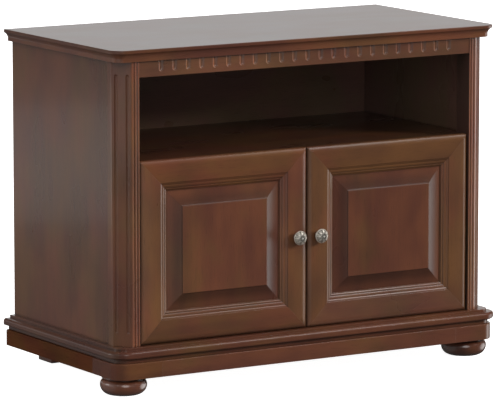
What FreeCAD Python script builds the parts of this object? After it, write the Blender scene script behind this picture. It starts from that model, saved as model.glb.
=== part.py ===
import FreeCAD, Part
import math
import os

# Two-door television stand of stained wood, in millimetres.
# Origin on the floor under the middle of the overall box. X to the right, Y to the back, Z up.

Vec = FreeCAD.Vector

# Overall size
overall_width = 1008.0
overall_depth = 517.0
overall_height = 760.0

# Feet
foot_height = 40.5
bun_diameter = 103.5
bun_base_diameter = 66.0
bun_neck_diameter = 88.0
bun_widest_level = 22.0
bun_neck_height = 1.0
bun_ring_diameter = 92.0
bun_ring_height = 4.5
bun_side_inset = 49.0
bun_front_inset = 61.5
block_foot_size = 60.0
block_foot_side_inset = 80.0
block_foot_back_inset = 5.0
block_foot_chamfer = 1.5
foot_bolt_diameter = 8.0
foot_bolt_reach = 24.0

# Plinth and base moulding
plinth_height = 36.0
plinth_thickness = 22.0
plinth_corner_size = 112.0
plinth_arris = 3.0
plinth_cant_leg = 23.0
plinth_bend = 26.0
base_moulding_height = 32.5
base_rail_width = 82.0
torus_height = 16.0
torus_top_round = 7.0
torus_bottom_round = 4.0
torus_projection = 7.0
base_fillet_height = 6.0
base_fillet_setback = 9.5
neck_depth = 6.0
neck_cove = 4.0

# Corner posts
plinth_side_overhang = 16.0
plinth_front_overhang = 19.0
post_side_flat = 14.0
post_cant_leg = 33.0
post_bend = 8.0
post_reveal = 5.4
post_bead_width = 6.0
post_bead_setback = 5.5
post_bead_margin = 0.2
post_flute_width = 8.0
post_flute_depth = 2.4
post_flute_spacing = 26.0
post_flute_top_gap = 27.0
post_flute_bottom_gap = 27.0
post_dowel_side_inset = 22.0
post_dowel_back_inset = 18.0

# Top board
top_thickness = 27.0
top_side_overhang = 16.0
top_front_overhang = 14.0
top_cant_leg = 20.0
top_bend = 26.0
top_lip_height = 7.0
top_lip_round = 1.6
top_cove_width = 10.0
top_cove_height = 11.3
top_cove_hollow = 1.6

# Frieze rail
frieze_height = 35.0
frieze_thickness = 22.0
frieze_recess = 1.5
frieze_flute_width = 11.0
frieze_flute_depth = 3.6
frieze_flute_length = 25.5
frieze_flute_pitch = 34.0
frieze_plain_end = 42.0

# Carcass boards
side_panel_thickness = 18.0
board_thickness = 18.0
back_panel_thickness = 6.0
back_rabbet_width = 8.0
back_recess = 6.0
rear_rail_height = 60.0
inner_shelf_level = 295.0
inner_shelf_front_gap = 12.0
inner_shelf_side_gap = 1.5
inner_shelf_round = 2.0
shelf_pin_diameter = 5.0
shelf_pin_inset = 50.0
shelf_pin_seat = 8.0
shelf_pin_reach = 10.0

# Doors
door_thickness = 20.0
door_height = 403.0
door_floor_gap = 2.0
door_gap = 3.0
door_swing = 95.0
door_swing_room = 1.0
hinge_side_room = 0.6
shelf_below_door_top = 4.0
frame_width = 69.0
edge_round_width = 12.0
edge_round_drop = 5.0
edge_quirk = 1.4
face_crown = 0.7
sticking_quirk = 0.9
outer_ovolo_width = 5.0
outer_ovolo_drop = 2.4
sticking_ledge = 2.4
middle_ovolo_width = 4.6
middle_ovolo_drop = 2.2
sticking_slit_width = 1.0
sticking_slit_depth = 0.8
inner_ovolo_width = 3.6
inner_ovolo_drop = 1.8
ovolo_turn = 30.0
sticking_fillet_width = 2.1
sticking_drop = 9.4
groove_lip = 1.2
panel_groove_depth = 8.0
panel_tongue = 5.6
panel_clearance = 0.1
panel_edge_room = 0.5
panel_bevel_width = 33.0
panel_bevel_hollow = 0.8
panel_margin = 1.5
panel_field_drop = 0.3
panel_field_chamfer = 1.6

# Knobs
knob_diameter = 32.0
knob_projection = 24.0
knob_rose_diameter = 18.0
knob_rose_thickness = 1.6
knob_neck_diameter = 11.0
knob_neck_start = 5.8
knob_neck_end = 7.2
knob_rim_level = 13.4
knob_rim_thickness = 4.2
knob_rim_round = 1.5
knob_dome_diameter = 27.2
knob_dome_base = 15.5
knob_edge_distance = 26.5
knob_rise = 3.5
knob_screw_diameter = 4.0
knob_screw_head_diameter = 9.0
knob_screw_head = 2.6
knob_screw_depth = 9.0

# Concealed hinges, two to a door
hinge_end_distance = 80.0
hinge_pin_inset = 12.0
hinge_pin_diameter = 4.0
hinge_pin_end_seat = 5.0
hinge_clearance = 0.05
pin_seat_clearance = 0.02
cup_diameter = 35.0
cup_depth = 13.0
cup_edge_margin = 5.0
cup_flange_length = 56.0
cup_flange_width = 22.0
cup_flange_thickness = 1.2
cup_pocket_room = 0.7
arm_height = 12.0
arm_thickness = 3.0
arm_eye_diameter = 7.0
arm_swing_room = 3.2
arm_reach_room = 6.0
arm_foot_length = 30.0
plate_thickness = 3.0
plate_height = 34.0
plate_front_room = 0.5
plate_tail = 12.0
plate_corner_radius = 4.0
plate_screw_margin = 6.0
plate_screw_diameter = 4.0
plate_screw_head_diameter = 7.6
plate_screw_tip_diameter = 4.8
plate_screw_head = 1.4
plate_screw_length = 14.0
batten_tail = 10.0

# Catches and small fasteners
catch_width = 32.0
catch_depth = 26.0
catch_height = 14.0
catch_offset = 40.0
catch_round = 2.0
strike_height = 14.0
strike_thickness = 1.5
strike_corner_radius = 2.0
catch_gap = 0.3
dowel_diameter = 8.0
dowel_length = 30.0
dowel_panel_depth = 11.0
dowel_front_inset = 90.0
dowel_back_inset = 60.0
dowel_clearance = 0.05
dowel_end_room = 0.5
back_screw_head_diameter = 8.0
back_screw_head_seat = 4.9
back_screw_head = 2.0
back_screw_diameter = 3.5
back_screw_length = 20.0
back_screw_pitch = 150.0

# How far cutters run past the piece that they cut
cut_over = 1.0

# Levels and planes that follow from the sizes above
back_y = overall_depth / 2
plinth_front = -overall_depth / 2 + torus_projection
plinth_half = overall_width / 2 - torus_projection
post_front = plinth_front + plinth_front_overhang
post_half = plinth_half - plinth_side_overhang
post_tangent = post_bend * math.tan(math.radians(22.5))
post_width = post_cant_leg + post_tangent + post_bead_margin + 1.5 * post_bead_width + post_bead_setback
post_depth = post_cant_leg + post_tangent + post_side_flat
post_back = post_front + post_depth
opening_half = post_half - post_width
panel_outer = post_half - post_reveal
panel_inner = panel_outer - side_panel_thickness
plinth_top = foot_height + plinth_height
carcass_bottom = plinth_top + base_moulding_height
cupboard_floor = carcass_bottom + board_thickness
top_underside = overall_height - top_thickness
carcass_height = top_underside - carcass_bottom
back_panel_front = back_y - back_recess - back_panel_thickness

# Door and hinge places. The pin lies opposite the middle of the square part of the door's edge,
# so the front and back corners of that edge swing on the same circle. The gap beside the post lets
# that circle pass, and the door's face when it is fully open.
door_bottom = carcass_bottom + door_floor_gap
door_top = door_bottom + door_height
niche_floor = door_top - shelf_below_door_top
shelf_underside = niche_floor - board_thickness
edge_square_start = edge_round_drop + edge_quirk
hinge_pin_depth = (door_thickness + edge_square_start) / 2
edge_swing = math.hypot(hinge_pin_inset, door_thickness - hinge_pin_depth)
face_swing = hinge_pin_depth * math.tan(math.radians(door_swing / 2))
hinge_gap = max(edge_swing, face_swing) - hinge_pin_inset + hinge_side_room
door_width = opening_half - hinge_gap - door_gap / 2
door_left = -opening_half + hinge_gap
hinge_x = door_left + hinge_pin_inset
hinge_y = post_front + hinge_pin_depth
hinge_levels = [door_bottom + hinge_end_distance, door_top - hinge_end_distance]
board_front = hinge_y + edge_swing + door_swing_room
cup_centre_inset = cup_edge_margin + cup_diameter / 2
arm_reach = door_thickness - hinge_pin_depth + cup_flange_thickness + arm_reach_room + arm_thickness
arm_back = edge_swing + arm_swing_room + arm_thickness
arm_foot_end = arm_back + arm_foot_length
plate_front = edge_swing + plate_front_room
plate_back = arm_foot_end + plate_tail
batten_back = hinge_y + plate_back + batten_tail
inner_shelf_front = batten_back + inner_shelf_front_gap


def xy(a, b):
    return Vec(a, b, 0)


def xz(a, b):
    return Vec(a, 0, b)


def round_to(centre_a, centre_b, radius, start, end):
    """Middle and end point of an arc given by its centre and its angles in degrees."""
    middle = math.radians((start + end) / 2)
    last = math.radians(end)
    return (centre_a + radius * math.cos(middle), centre_b + radius * math.sin(middle),
            centre_a + radius * math.cos(last), centre_b + radius * math.sin(last))


def closed_face(plane, *steps):
    """Face bounded by straight edges (a, b) and arcs (through a, b, to a, b), closed by a straight edge."""
    first = plane(*steps[0])
    here = first
    edges = []
    for step in steps[1:]:
        end = plane(*step[-2:])
        if len(step) == 4:
            edges.append(Part.Arc(here, plane(*step[:2]), end).toShape())
        else:
            edges.append(Part.LineSegment(here, end).toShape())
        here = end
    if (here - first).Length > 1e-6:
        edges.append(Part.LineSegment(here, first).toShape())
    return Part.Face(Part.Wire(edges))


def bulged(start, end, bulge):
    """Arc step from start to end that bulges to the right of its run, or to the left if negative."""
    run = math.dist(start, end)
    across = ((end[1] - start[1]) / run, -(end[0] - start[0]) / run)
    return ((start[0] + end[0]) / 2 + across[0] * bulge, (start[1] + end[1]) / 2 + across[1] * bulge, *end)


def box(x0, x1, y0, y1, z0, z1):
    return Part.makeBox(x1 - x0, y1 - y0, z1 - z0, Vec(x0, y0, z0))


def rod(diameter, start, direction, length):
    return Part.makeCylinder(diameter / 2, length, start, direction)


def mirrored(shape):
    return shape.mirror(Vec(0, 0, 0), Vec(1, 0, 0))


def save(name, shape):
    shape.exportStep("parts/" + name + ".step")


def save_pair(name, left_shape):
    """Writes a left piece and its mirror image."""
    save("left_" + name, left_shape)
    save("right_" + name, mirrored(left_shape))


def save_group(name, solids):
    save(name, Part.makeCompound(solids))


def dome_radius(half_chord, rise):
    """Radius of the arc that rises this much over half its chord."""
    return (half_chord ** 2 + rise ** 2) / (2 * rise)


def dome_angle(half_chord, radius):
    """Angle in degrees between the middle and the end of an arc with this half chord."""
    return math.degrees(math.asin(half_chord / radius))


def upright_edges(shape, length, axis):
    """Straight edges of a plate that run through its thickness along X (0) or Y (1)."""
    sizes = [(e, (e.BoundBox.XLength, e.BoundBox.YLength, e.BoundBox.ZLength)) for e in shape.Edges]
    return [e for e, size in sizes if abs(size[axis] - length) < 0.01 and abs(sum(size) - length) < 0.01]


class CantedOutline:
    """Plan outline with straight sides and back, and rounded cants at the two front corners."""

    def __init__(self, half, front, leg, bend):
        self.half = half
        self.front = front
        self.leg = leg
        self.bend = bend
        tangent = bend * math.tan(math.radians(22.5))
        side_y = front + leg + tangent
        front_x = half - leg - tangent
        self.centres = [Vec(-half + bend, side_y), Vec(-front_x, front + bend),
                        Vec(front_x, front + bend), Vec(half - bend, side_y)]
        self.points = [Vec(-half, back_y)]
        for turn, centre in enumerate(self.centres):
            for degrees in (180 + 45 * turn, 225 + 45 * turn):
                angle = math.radians(degrees)
                self.points.append(centre + Vec(math.cos(angle), math.sin(angle)) * bend)
        self.points.append(Vec(half, back_y))

    def grown(self, offset):
        """The same outline moved outwards all round the front and sides."""
        leg = self.leg + offset * (2 - math.sqrt(2))
        return CantedOutline(self.half + offset, self.front - offset, leg, self.bend + offset)

    def slab(self, low, high):
        steps = [tuple(self.points[0])[:2], tuple(self.points[1])[:2]]
        for turn, centre in enumerate(self.centres):
            steps.append(round_to(centre.x, centre.y, self.bend, 180 + 45 * turn, 225 + 45 * turn))
            steps.append(tuple(self.points[2 * turn + 3])[:2])
        face = closed_face(xy, *steps)
        face.translate(Vec(0, 0, low))
        return face.extrude(Vec(0, 0, high - low))

    def run(self, profile):
        """Solids of a profile (outward, up) carried along the outline, past the back by a little."""
        overrun = Vec(0, cut_over, 0)
        solids = []
        for index in range(5):
            start = self.points[2 * index]
            end = self.points[2 * index + 1]
            if index == 0:
                start = start + overrun
            if index == 4:
                end = end + overrun
            face = profile.copy()
            face.rotate(Vec(0, 0, 0), Vec(0, 0, 1), 180 + 45 * index)
            face.translate(start)
            solids.append(face.extrude(end - start))
        for turn, centre in enumerate(self.centres):
            face = profile.copy()
            face.translate(Vec(self.bend, 0, 0))
            face.rotate(Vec(0, 0, 0), Vec(0, 0, 1), 180 + 45 * turn)
            face.translate(centre)
            solids.append(face.revolve(centre, Vec(0, 0, 1), 45))
        return solids


def capsule(radius, low, high):
    """Upright round-ended cutter."""
    face = closed_face(xz, (0, low), round_to(0, low + radius, radius, -90, 0),
                       (radius, high - radius), round_to(0, high - radius, radius, 0, 90))
    return face.revolve(Vec(0, 0, 0), Vec(0, 0, 1), 360)


class CarcassJoints:
    """Dowels and back screws of the carcass, with the holes that take them."""

    def __init__(self):
        self.pins = []
        self.screws = []
        self.holes = []

    def add(self, seam, direction, depth_ahead):
        """A dowel through a seam point, reaching the given depth ahead and the rest behind."""
        start = seam - direction * (dowel_length - depth_ahead)
        self.pins.append(rod(dowel_diameter, start, direction, dowel_length))
        hole_start = start - direction * dowel_end_room
        hole_length = dowel_length + 2 * dowel_end_room
        self.holes.append(rod(dowel_diameter + 2 * dowel_clearance, hole_start, direction, hole_length))

    def add_pair(self, seam, direction, depth_ahead):
        """The same dowel on the left and on the right."""
        self.add(seam, direction, depth_ahead)
        mirror_seam = Vec(-seam.x, seam.y, seam.z)
        self.add(mirror_seam, Vec(-direction.x, direction.y, direction.z), depth_ahead)

    def add_back_screw(self, x, level):
        """A screw driven forwards through the back panel, its head on the panel's rear face."""
        head_seat = Vec(x, back_panel_front + back_panel_thickness, level)
        forwards = Vec(0, -1, 0)
        shank = rod(back_screw_diameter, head_seat, forwards, back_screw_length)
        head_end = head_seat + Vec(0, back_screw_head, 0)
        head = Part.makeCone(back_screw_head_seat / 2, back_screw_head_diameter / 2, back_screw_head,
                             head_end, forwards)
        self.screws.append(shank.fuse(head))
        bore = back_screw_diameter + 2 * dowel_clearance
        hole_length = cut_over + back_screw_length + dowel_end_room
        self.holes.append(rod(bore, head_seat - forwards * cut_over, forwards, hole_length))

    def drilled(self, shape):
        near = [hole for hole in self.holes if hole.BoundBox.intersect(shape.BoundBox)]
        return shape.cut(near) if near else shape


def back_screw_places():
    """Places round the edge of the back panel and along the niche floor, as (x, level)."""
    half = panel_inner + back_rabbet_width / 2
    low = carcass_bottom + board_thickness / 2
    high = top_underside - board_thickness / 2
    rows = math.floor((high - low) / back_screw_pitch)
    places = []
    for index in range(rows + 1):
        level = low + (high - low) * index / rows
        places += [(-half, level), (half, level)]
    span = 2 * panel_inner - back_screw_pitch
    columns = math.floor(span / (2 * back_screw_pitch))
    for index in range(columns + 1):
        x = -span / 2 + span * index / columns
        places += [(x, low), (x, niche_floor - board_thickness / 2), (x, high)]
    return places


def make_joints():
    joints = CarcassJoints()
    outwards = Vec(-1, 0, 0)
    up = Vec(0, 0, 1)
    quarters = (0.25, 0.75)
    front_y = board_front + dowel_front_inset
    back_dowel_y = back_panel_front - dowel_back_inset
    board_ys = [front_y, (front_y + back_dowel_y) / 2, back_dowel_y]
    for level in (carcass_bottom + board_thickness / 2, niche_floor - board_thickness / 2):
        for y in board_ys:
            joints.add_pair(Vec(-panel_inner, y, level), outwards, dowel_panel_depth)
    rail_middle = back_panel_front - board_thickness / 2
    for share in quarters:
        level = top_underside - rear_rail_height * share
        joints.add_pair(Vec(-panel_inner, rail_middle, level), outwards, dowel_panel_depth)
    frieze_middle = post_front + frieze_recess + (frieze_flute_depth + frieze_thickness) / 2
    for share in quarters:
        level = top_underside - frieze_height * share
        joints.add_pair(Vec(-opening_half, frieze_middle, level), outwards, dowel_length / 2)
    panel_middle = -(panel_inner + panel_outer) / 2
    for y in board_ys:
        joints.add_pair(Vec(panel_middle, y, top_underside), up, dowel_panel_depth)
    post_dowel_x = -opening_half - post_dowel_side_inset
    post_dowel_y = post_back - post_dowel_back_inset
    joints.add_pair(Vec(post_dowel_x, post_dowel_y, top_underside), up, dowel_panel_depth)
    joints.add_pair(Vec(post_dowel_x, post_dowel_y, carcass_bottom), up, dowel_length / 2)
    for x, level in back_screw_places():
        joints.add_back_screw(x, level)
    return joints


def make_top():
    """Board with a rounded lip, a flat cove and a fillet cut round its front and side edges."""
    outline = CantedOutline(post_half + top_side_overhang, post_front - top_front_overhang,
                            top_cant_leg, top_bend)
    high = overall_height
    low = top_underside
    nose = top_lip_round
    lip_low = high - top_lip_height
    cove_low = lip_low - top_cove_height
    fillet_out = -top_cove_width
    cutter = closed_face(
        xz, (cut_over, high + cut_over), (-nose, high + cut_over), (-nose, high),
        round_to(-nose, high - nose, nose, 90, 0), (0, lip_low),
        bulged((0, lip_low), (fillet_out, cove_low), top_cove_hollow),
        (fillet_out, low - cut_over), (cut_over, low - cut_over))
    return outline.slab(low, high).cut(outline.run(cutter))


def make_plinth():
    """Plinth boards and solid corner blocks under the base moulding, as {name: shape}."""
    outline = CantedOutline(plinth_half, plinth_front, plinth_cant_leg, plinth_bend)
    low = foot_height
    high = plinth_top
    arris = plinth_arris
    cutter = closed_face(xz, (cut_over, high + cut_over), (-arris, high + cut_over), (-arris, high),
                         round_to(-arris, high - arris, arris, 90, 0), (cut_over, high - arris))
    solid = outline.slab(low, high).cut(outline.run(cutter))
    corner_x = -plinth_half + plinth_corner_size
    corner_y = plinth_front + plinth_corner_size
    block_foot_front = back_y - block_foot_back_inset - block_foot_size
    board_in = -plinth_half + plinth_thickness
    left_block = box(-plinth_half, corner_x, plinth_front, corner_y, low, high)
    left_board = box(-plinth_half, board_in, corner_y, back_y, low, high)
    front_board = box(corner_x, -corner_x, plinth_front, plinth_front + plinth_thickness, low, high)
    rear_board = box(board_in, -board_in, block_foot_front - plinth_thickness, block_foot_front, low, high)
    return {
        "left_plinth_corner": solid.common(left_block),
        "right_plinth_corner": mirrored(solid.common(left_block)),
        "left_plinth_board": solid.common(left_board),
        "right_plinth_board": mirrored(solid.common(left_board)),
        "front_plinth_board": solid.common(front_board),
        "rear_plinth_board": solid.common(rear_board),
    }


def base_moulding_cutter(low, high):
    """What is cut from the base frame's edge: above the fillet, round the torus and into the neck."""
    fillet_out = -torus_projection - base_fillet_setback
    fillet_low = high - base_fillet_height
    torus_low = fillet_low - torus_height
    top_round = torus_top_round
    low_round = torus_bottom_round
    neck_out = -torus_projection - neck_depth
    return closed_face(
        xz, (cut_over, high + cut_over), (fillet_out, high + cut_over), (fillet_out, fillet_low),
        (-top_round, fillet_low), round_to(-top_round, fillet_low - top_round, top_round, 90, 0),
        (0, torus_low + low_round), round_to(-low_round, torus_low + low_round, low_round, 0, -90),
        (neck_out + neck_cove, torus_low),
        round_to(neck_out + neck_cove, torus_low - neck_cove, neck_cove, 90, 180),
        (neck_out, low - cut_over), (cut_over, low - cut_over))


def make_base_moulding():
    """Flat frame with fillet, torus and hollow neck on its outer edge, mitred at the cants."""
    plinth_outline = CantedOutline(plinth_half, plinth_front, plinth_cant_leg, plinth_bend)
    outline = plinth_outline.grown(torus_projection)
    low = plinth_top
    high = carcass_bottom
    under = low - cut_over
    over = high + cut_over
    moulded = outline.slab(low, high).cut(outline.run(base_moulding_cutter(low, high)))
    inner_half = plinth_half - base_rail_width
    inner_front = plinth_front + base_rail_width
    inner_back = back_y - base_rail_width
    ring = moulded.cut(box(-inner_half, inner_half, inner_front, inner_back, under, over))
    mitre_x = -outline.half + outline.leg / 2
    mitre_y = outline.front + outline.leg / 2
    reach_out = outline.leg
    reach_in = inner_front - mitre_y + cut_over
    wedge = closed_face(
        xy, (mitre_x - reach_out, mitre_y - reach_out), (-mitre_x + reach_out, mitre_y - reach_out),
        (-mitre_x - reach_in, mitre_y + reach_in), (mitre_x + reach_in, mitre_y + reach_in))
    wedge.translate(Vec(0, 0, under))
    wedge = wedge.extrude(Vec(0, 0, over - under))
    side_block = box(-outline.half - cut_over, -inner_half,
                     outline.front - cut_over, back_y + cut_over, under, over)
    left_side = ring.cut(wedge).common(side_block)
    return {
        "front_base_moulding": ring.common(wedge),
        "left_base_moulding": left_side,
        "right_base_moulding": mirrored(left_side),
        "rear_base_rail": box(-inner_half, inner_half, inner_back, back_y, low, high),
    }


def make_left_bun_foot():
    """Turned foot: thin ring under the plinth over a flattened ball with a small flat base."""
    base_r = bun_base_diameter / 2
    neck_r = bun_neck_diameter / 2
    ring_r = bun_ring_diameter / 2
    ball_r = bun_diameter / 2
    ring_low = foot_height - bun_ring_height
    ring_round = bun_ring_height / 2
    neck_low = ring_low - bun_neck_height
    lower = dome_radius(bun_widest_level, ball_r - base_r)
    upper_height = neck_low - bun_widest_level
    upper = dome_radius(upper_height, ball_r - neck_r)
    profile = closed_face(
        xz, (0, 0), (base_r, 0),
        round_to(ball_r - lower, bun_widest_level, lower, -dome_angle(bun_widest_level, lower), 0),
        round_to(ball_r - upper, bun_widest_level, upper, 0, dome_angle(upper_height, upper)),
        (neck_r, ring_low), (ring_r, ring_low),
        round_to(ring_r, ring_low + ring_round, ring_round, -90, 90), (0, foot_height))
    foot = profile.revolve(Vec(0, 0, 0), Vec(0, 0, 1), 360)
    foot.translate(Vec(-plinth_half + bun_side_inset, plinth_front + bun_front_inset, 0))
    return foot


def make_left_block_foot():
    """Plain block that stands against the rear plinth board and reaches up to the base frame."""
    x0 = -plinth_half + block_foot_side_inset
    y1 = back_y - block_foot_back_inset
    block = box(x0, x0 + block_foot_size, y1 - block_foot_size, y1, 0, plinth_top)
    bottom_edges = [e for e in block.Edges if e.BoundBox.ZMax < 0.01]
    return block.makeChamfer(block_foot_chamfer, bottom_edges)


def make_left_post(joints):
    """Canted post with two stopped flutes and a bead beside the opening."""
    outer = -post_half
    front = post_front
    inner = -opening_half
    side_y = front + post_cant_leg + post_tangent
    front_x = outer + post_cant_leg + post_tangent
    bead_r = post_bead_width / 2
    bead_x = inner - post_bead_setback - bead_r
    plan = closed_face(
        xy, (outer, post_back), (outer, side_y),
        round_to(outer + post_bend, side_y, post_bend, 180, 225),
        round_to(front_x, front + post_bend, post_bend, 225, 225)[:2],
        round_to(front_x, front + post_bend, post_bend, 225, 270),
        (bead_x - 2 * bead_r, front), (bead_x - bead_r, front + bead_r),
        round_to(bead_x, front + bead_r, bead_r, 180, 360), (bead_x + 2 * bead_r, front),
        (inner, front), (inner, post_back))
    plan.translate(Vec(0, 0, carcass_bottom))
    post = plan.extrude(Vec(0, 0, carcass_height))
    radius = dome_radius(post_flute_width / 2, post_flute_depth)
    cutter = capsule(radius, carcass_bottom + post_flute_bottom_gap, top_underside - post_flute_top_gap)
    slant = math.sqrt(0.5)
    cant_middle = Vec(outer + post_cant_leg / 2, front + post_cant_leg / 2, 0)
    outwards = Vec(-slant, -slant, 0)
    along = Vec(slant, -slant, 0)
    for side in (-0.5, 0.5):
        flute = cutter.copy()
        flute.translate(cant_middle + along * (side * post_flute_spacing))
        flute.translate(outwards * (radius - post_flute_depth))
        post = post.cut(flute)
    return joints.drilled(post)


def make_left_hinge_batten():
    """Strip behind the post, from the cupboard floor to the niche floor, that takes the hinge plates."""
    batten = box(-panel_inner, -opening_half, post_back, batten_back, cupboard_floor, shelf_underside)
    holes = []
    for level in hinge_levels:
        for place in plate_screw_places(level):
            start = place - Vec(plate_screw_length + dowel_end_room, 0, 0)
            bore = plate_screw_diameter + 2 * dowel_clearance
            holes.append(rod(bore, start, Vec(1, 0, 0), plate_screw_length + cut_over))
    return batten.cut(holes)


def make_frieze(joints):
    """Rail under the top with a row of short flutes, open at their upper ends."""
    front = post_front + frieze_recess
    low = top_underside - frieze_height
    rail = box(-opening_half, opening_half, front, front + frieze_thickness, low, top_underside)
    radius = dome_radius(frieze_flute_width / 2, frieze_flute_depth)
    cutter = capsule(radius, top_underside - frieze_flute_length, top_underside + 2 * radius)
    gaps = math.floor(2 * (opening_half - frieze_plain_end) / frieze_flute_pitch)
    flutes = []
    for index in range(gaps + 1):
        flute = cutter.copy()
        x = (index - gaps / 2) * frieze_flute_pitch
        flute.translate(Vec(x, front - radius + frieze_flute_depth, 0))
        flutes.append(flute)
    return joints.drilled(rail.cut(flutes))


def shelf_pin_places():
    """Seats of the loose shelf's pins on the left side panel."""
    level = inner_shelf_level - shelf_pin_diameter / 2
    pin_ys = (inner_shelf_front + shelf_pin_inset, back_panel_front - shelf_pin_inset)
    return [Vec(-panel_inner, y, level) for y in pin_ys]


def make_left_side_panel(joints):
    """Side board behind the post, rabbeted for the back and bored for dowels and shelf pins."""
    panel = box(-panel_outer, -panel_inner, post_back, back_y, carcass_bottom, top_underside)
    rabbet_x = -panel_inner - back_rabbet_width
    panel = panel.cut(box(rabbet_x, -panel_inner, back_panel_front, back_y, carcass_bottom, top_underside))
    for place in shelf_pin_places():
        bore = shelf_pin_diameter + 2 * dowel_clearance
        panel = panel.cut(rod(bore, place, Vec(-1, 0, 0), shelf_pin_seat + dowel_end_room))
    return joints.drilled(panel)


def make_shelf_pins():
    pins = []
    for place in shelf_pin_places():
        start = place - Vec(shelf_pin_seat, 0, 0)
        pin = rod(shelf_pin_diameter, start, Vec(1, 0, 0), shelf_pin_seat + shelf_pin_reach)
        pins.append(pin)
        pins.append(mirrored(pin))
    return pins


def notched_board(low, joints):
    """Board between the side panels whose front corners clear the posts."""
    face = closed_face(
        xy, (-panel_inner, back_panel_front), (-panel_inner, post_back), (-opening_half, post_back),
        (-opening_half, board_front), (opening_half, board_front), (opening_half, post_back),
        (panel_inner, post_back), (panel_inner, back_panel_front))
    face.translate(Vec(0, 0, low))
    return joints.drilled(face.extrude(Vec(0, 0, board_thickness)))


def make_inner_shelf():
    half = panel_inner - inner_shelf_side_gap
    front = inner_shelf_front
    shelf = box(-half, half, front, back_panel_front - inner_shelf_side_gap,
                inner_shelf_level, inner_shelf_level + board_thickness)
    front_edges = [e for e in shelf.Edges if e.BoundBox.YMax < front + 0.01 and e.BoundBox.XLength > half]
    return shelf.makeFillet(inner_shelf_round, front_edges)


def make_back_panel():
    half = panel_inner + back_rabbet_width - dowel_end_room
    rear = back_panel_front + back_panel_thickness
    return box(-half, half, back_panel_front, rear, carcass_bottom, top_underside)


def make_top_rear_rail():
    front = back_panel_front - board_thickness
    low = top_underside - rear_rail_height
    return box(-panel_inner, panel_inner, front, back_panel_front, low, top_underside)


def ovolo(start, end):
    """Convex arc step from start to end."""
    return bulged(start, end, math.dist(start, end) / 2 * math.tan(math.radians(ovolo_turn / 4)))


def make_frame_member(length):
    """Door stile or rail: moulded section run upwards with its outer edge at X = 0, mitred at both ends."""
    back = door_thickness
    groove_front = sticking_drop + groove_lip
    groove_back = groove_front + panel_tongue + 2 * panel_clearance
    groove_in = frame_width - panel_groove_depth
    inner_end = (frame_width - sticking_fillet_width,
                 face_crown + sticking_quirk + outer_ovolo_drop + middle_ovolo_drop + inner_ovolo_drop)
    inner_start = (inner_end[0] - inner_ovolo_width, inner_end[1] - inner_ovolo_drop)
    middle_end = (inner_start[0] - sticking_slit_width, inner_start[1])
    middle_start = (middle_end[0] - middle_ovolo_width, middle_end[1] - middle_ovolo_drop)
    outer_end = (middle_start[0] - sticking_ledge, middle_start[1])
    outer_start = (outer_end[0] - outer_ovolo_width, outer_end[1] - outer_ovolo_drop)
    slit_floor = inner_start[1] + sticking_slit_depth
    face_end = (outer_start[0], face_crown)
    face_start = (edge_round_width, face_crown)
    crown_tilt = 2 * math.atan(2 * face_crown / math.dist(face_start, face_end))
    round_start = (edge_quirk, edge_round_drop)
    round_run = math.dist(round_start, face_start)
    round_tilt = math.asin((edge_round_drop - face_crown) / round_run)
    round_bulge = round_run / 2 * math.tan((round_tilt - crown_tilt) / 2)
    section = closed_face(
        xy, (0, back), (0, edge_square_start), (edge_quirk, edge_square_start), round_start,
        bulged(round_start, face_start, round_bulge), bulged(face_start, face_end, face_crown),
        outer_start, ovolo(outer_start, outer_end), middle_start, ovolo(middle_start, middle_end),
        (middle_end[0], slit_floor), (inner_start[0], slit_floor), inner_start,
        ovolo(inner_start, inner_end), (inner_end[0], sticking_drop), (frame_width, sticking_drop),
        (frame_width, groove_front), (groove_in, groove_front), (groove_in, groove_back),
        (frame_width, groove_back), (frame_width, back))
    bar = section.extrude(Vec(0, 0, length))
    mitre = closed_face(xz, (0, 0), (frame_width, frame_width),
                        (frame_width, length - frame_width), (0, length))
    mitre.translate(Vec(0, -cut_over, 0))
    return bar.common(mitre.extrude(Vec(0, back + 2 * cut_over, 0)))


def four_sides(upright, level):
    """Copies of an upright and a level bar turned to a door's hinge side, lock side, top and bottom."""
    axis = Vec(0, 1, 0)
    origin = Vec(0, 0, 0)
    opposite = upright.copy()
    opposite.rotate(origin, axis, 180)
    opposite.translate(Vec(door_width, 0, door_height))
    upper = level.copy()
    upper.rotate(origin, axis, 90)
    upper.translate(Vec(0, 0, door_height))
    lower = level.copy()
    lower.rotate(origin, axis, -90)
    lower.translate(Vec(door_width, 0, 0))
    return upright, opposite, upper, lower


def make_door_panel():
    """Raised panel: tongue in the frame's groove, hollow bevel and a flat field with a chamfered edge."""
    edge = frame_width - panel_groove_depth + panel_edge_room
    tongue_front = sticking_drop + groove_lip + panel_clearance
    back = tongue_front + panel_tongue
    field = panel_field_drop
    slab = box(edge, door_width - edge, field, back, edge, door_height - edge)
    bevel_start = (frame_width + panel_margin, tongue_front)
    bevel_end = (bevel_start[0] + panel_bevel_width, field + panel_field_chamfer)
    field_edge = bevel_end[0] + panel_field_chamfer
    section = closed_face(
        xy, (0, -cut_over), (0, tongue_front), bevel_start,
        bulged(bevel_start, bevel_end, -panel_bevel_hollow), (field_edge, field), (field_edge, -cut_over))
    upright = section.extrude(Vec(0, 0, door_height))
    level = section.extrude(Vec(0, 0, door_width))
    return slab.cut(list(four_sides(upright, level)))


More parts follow.
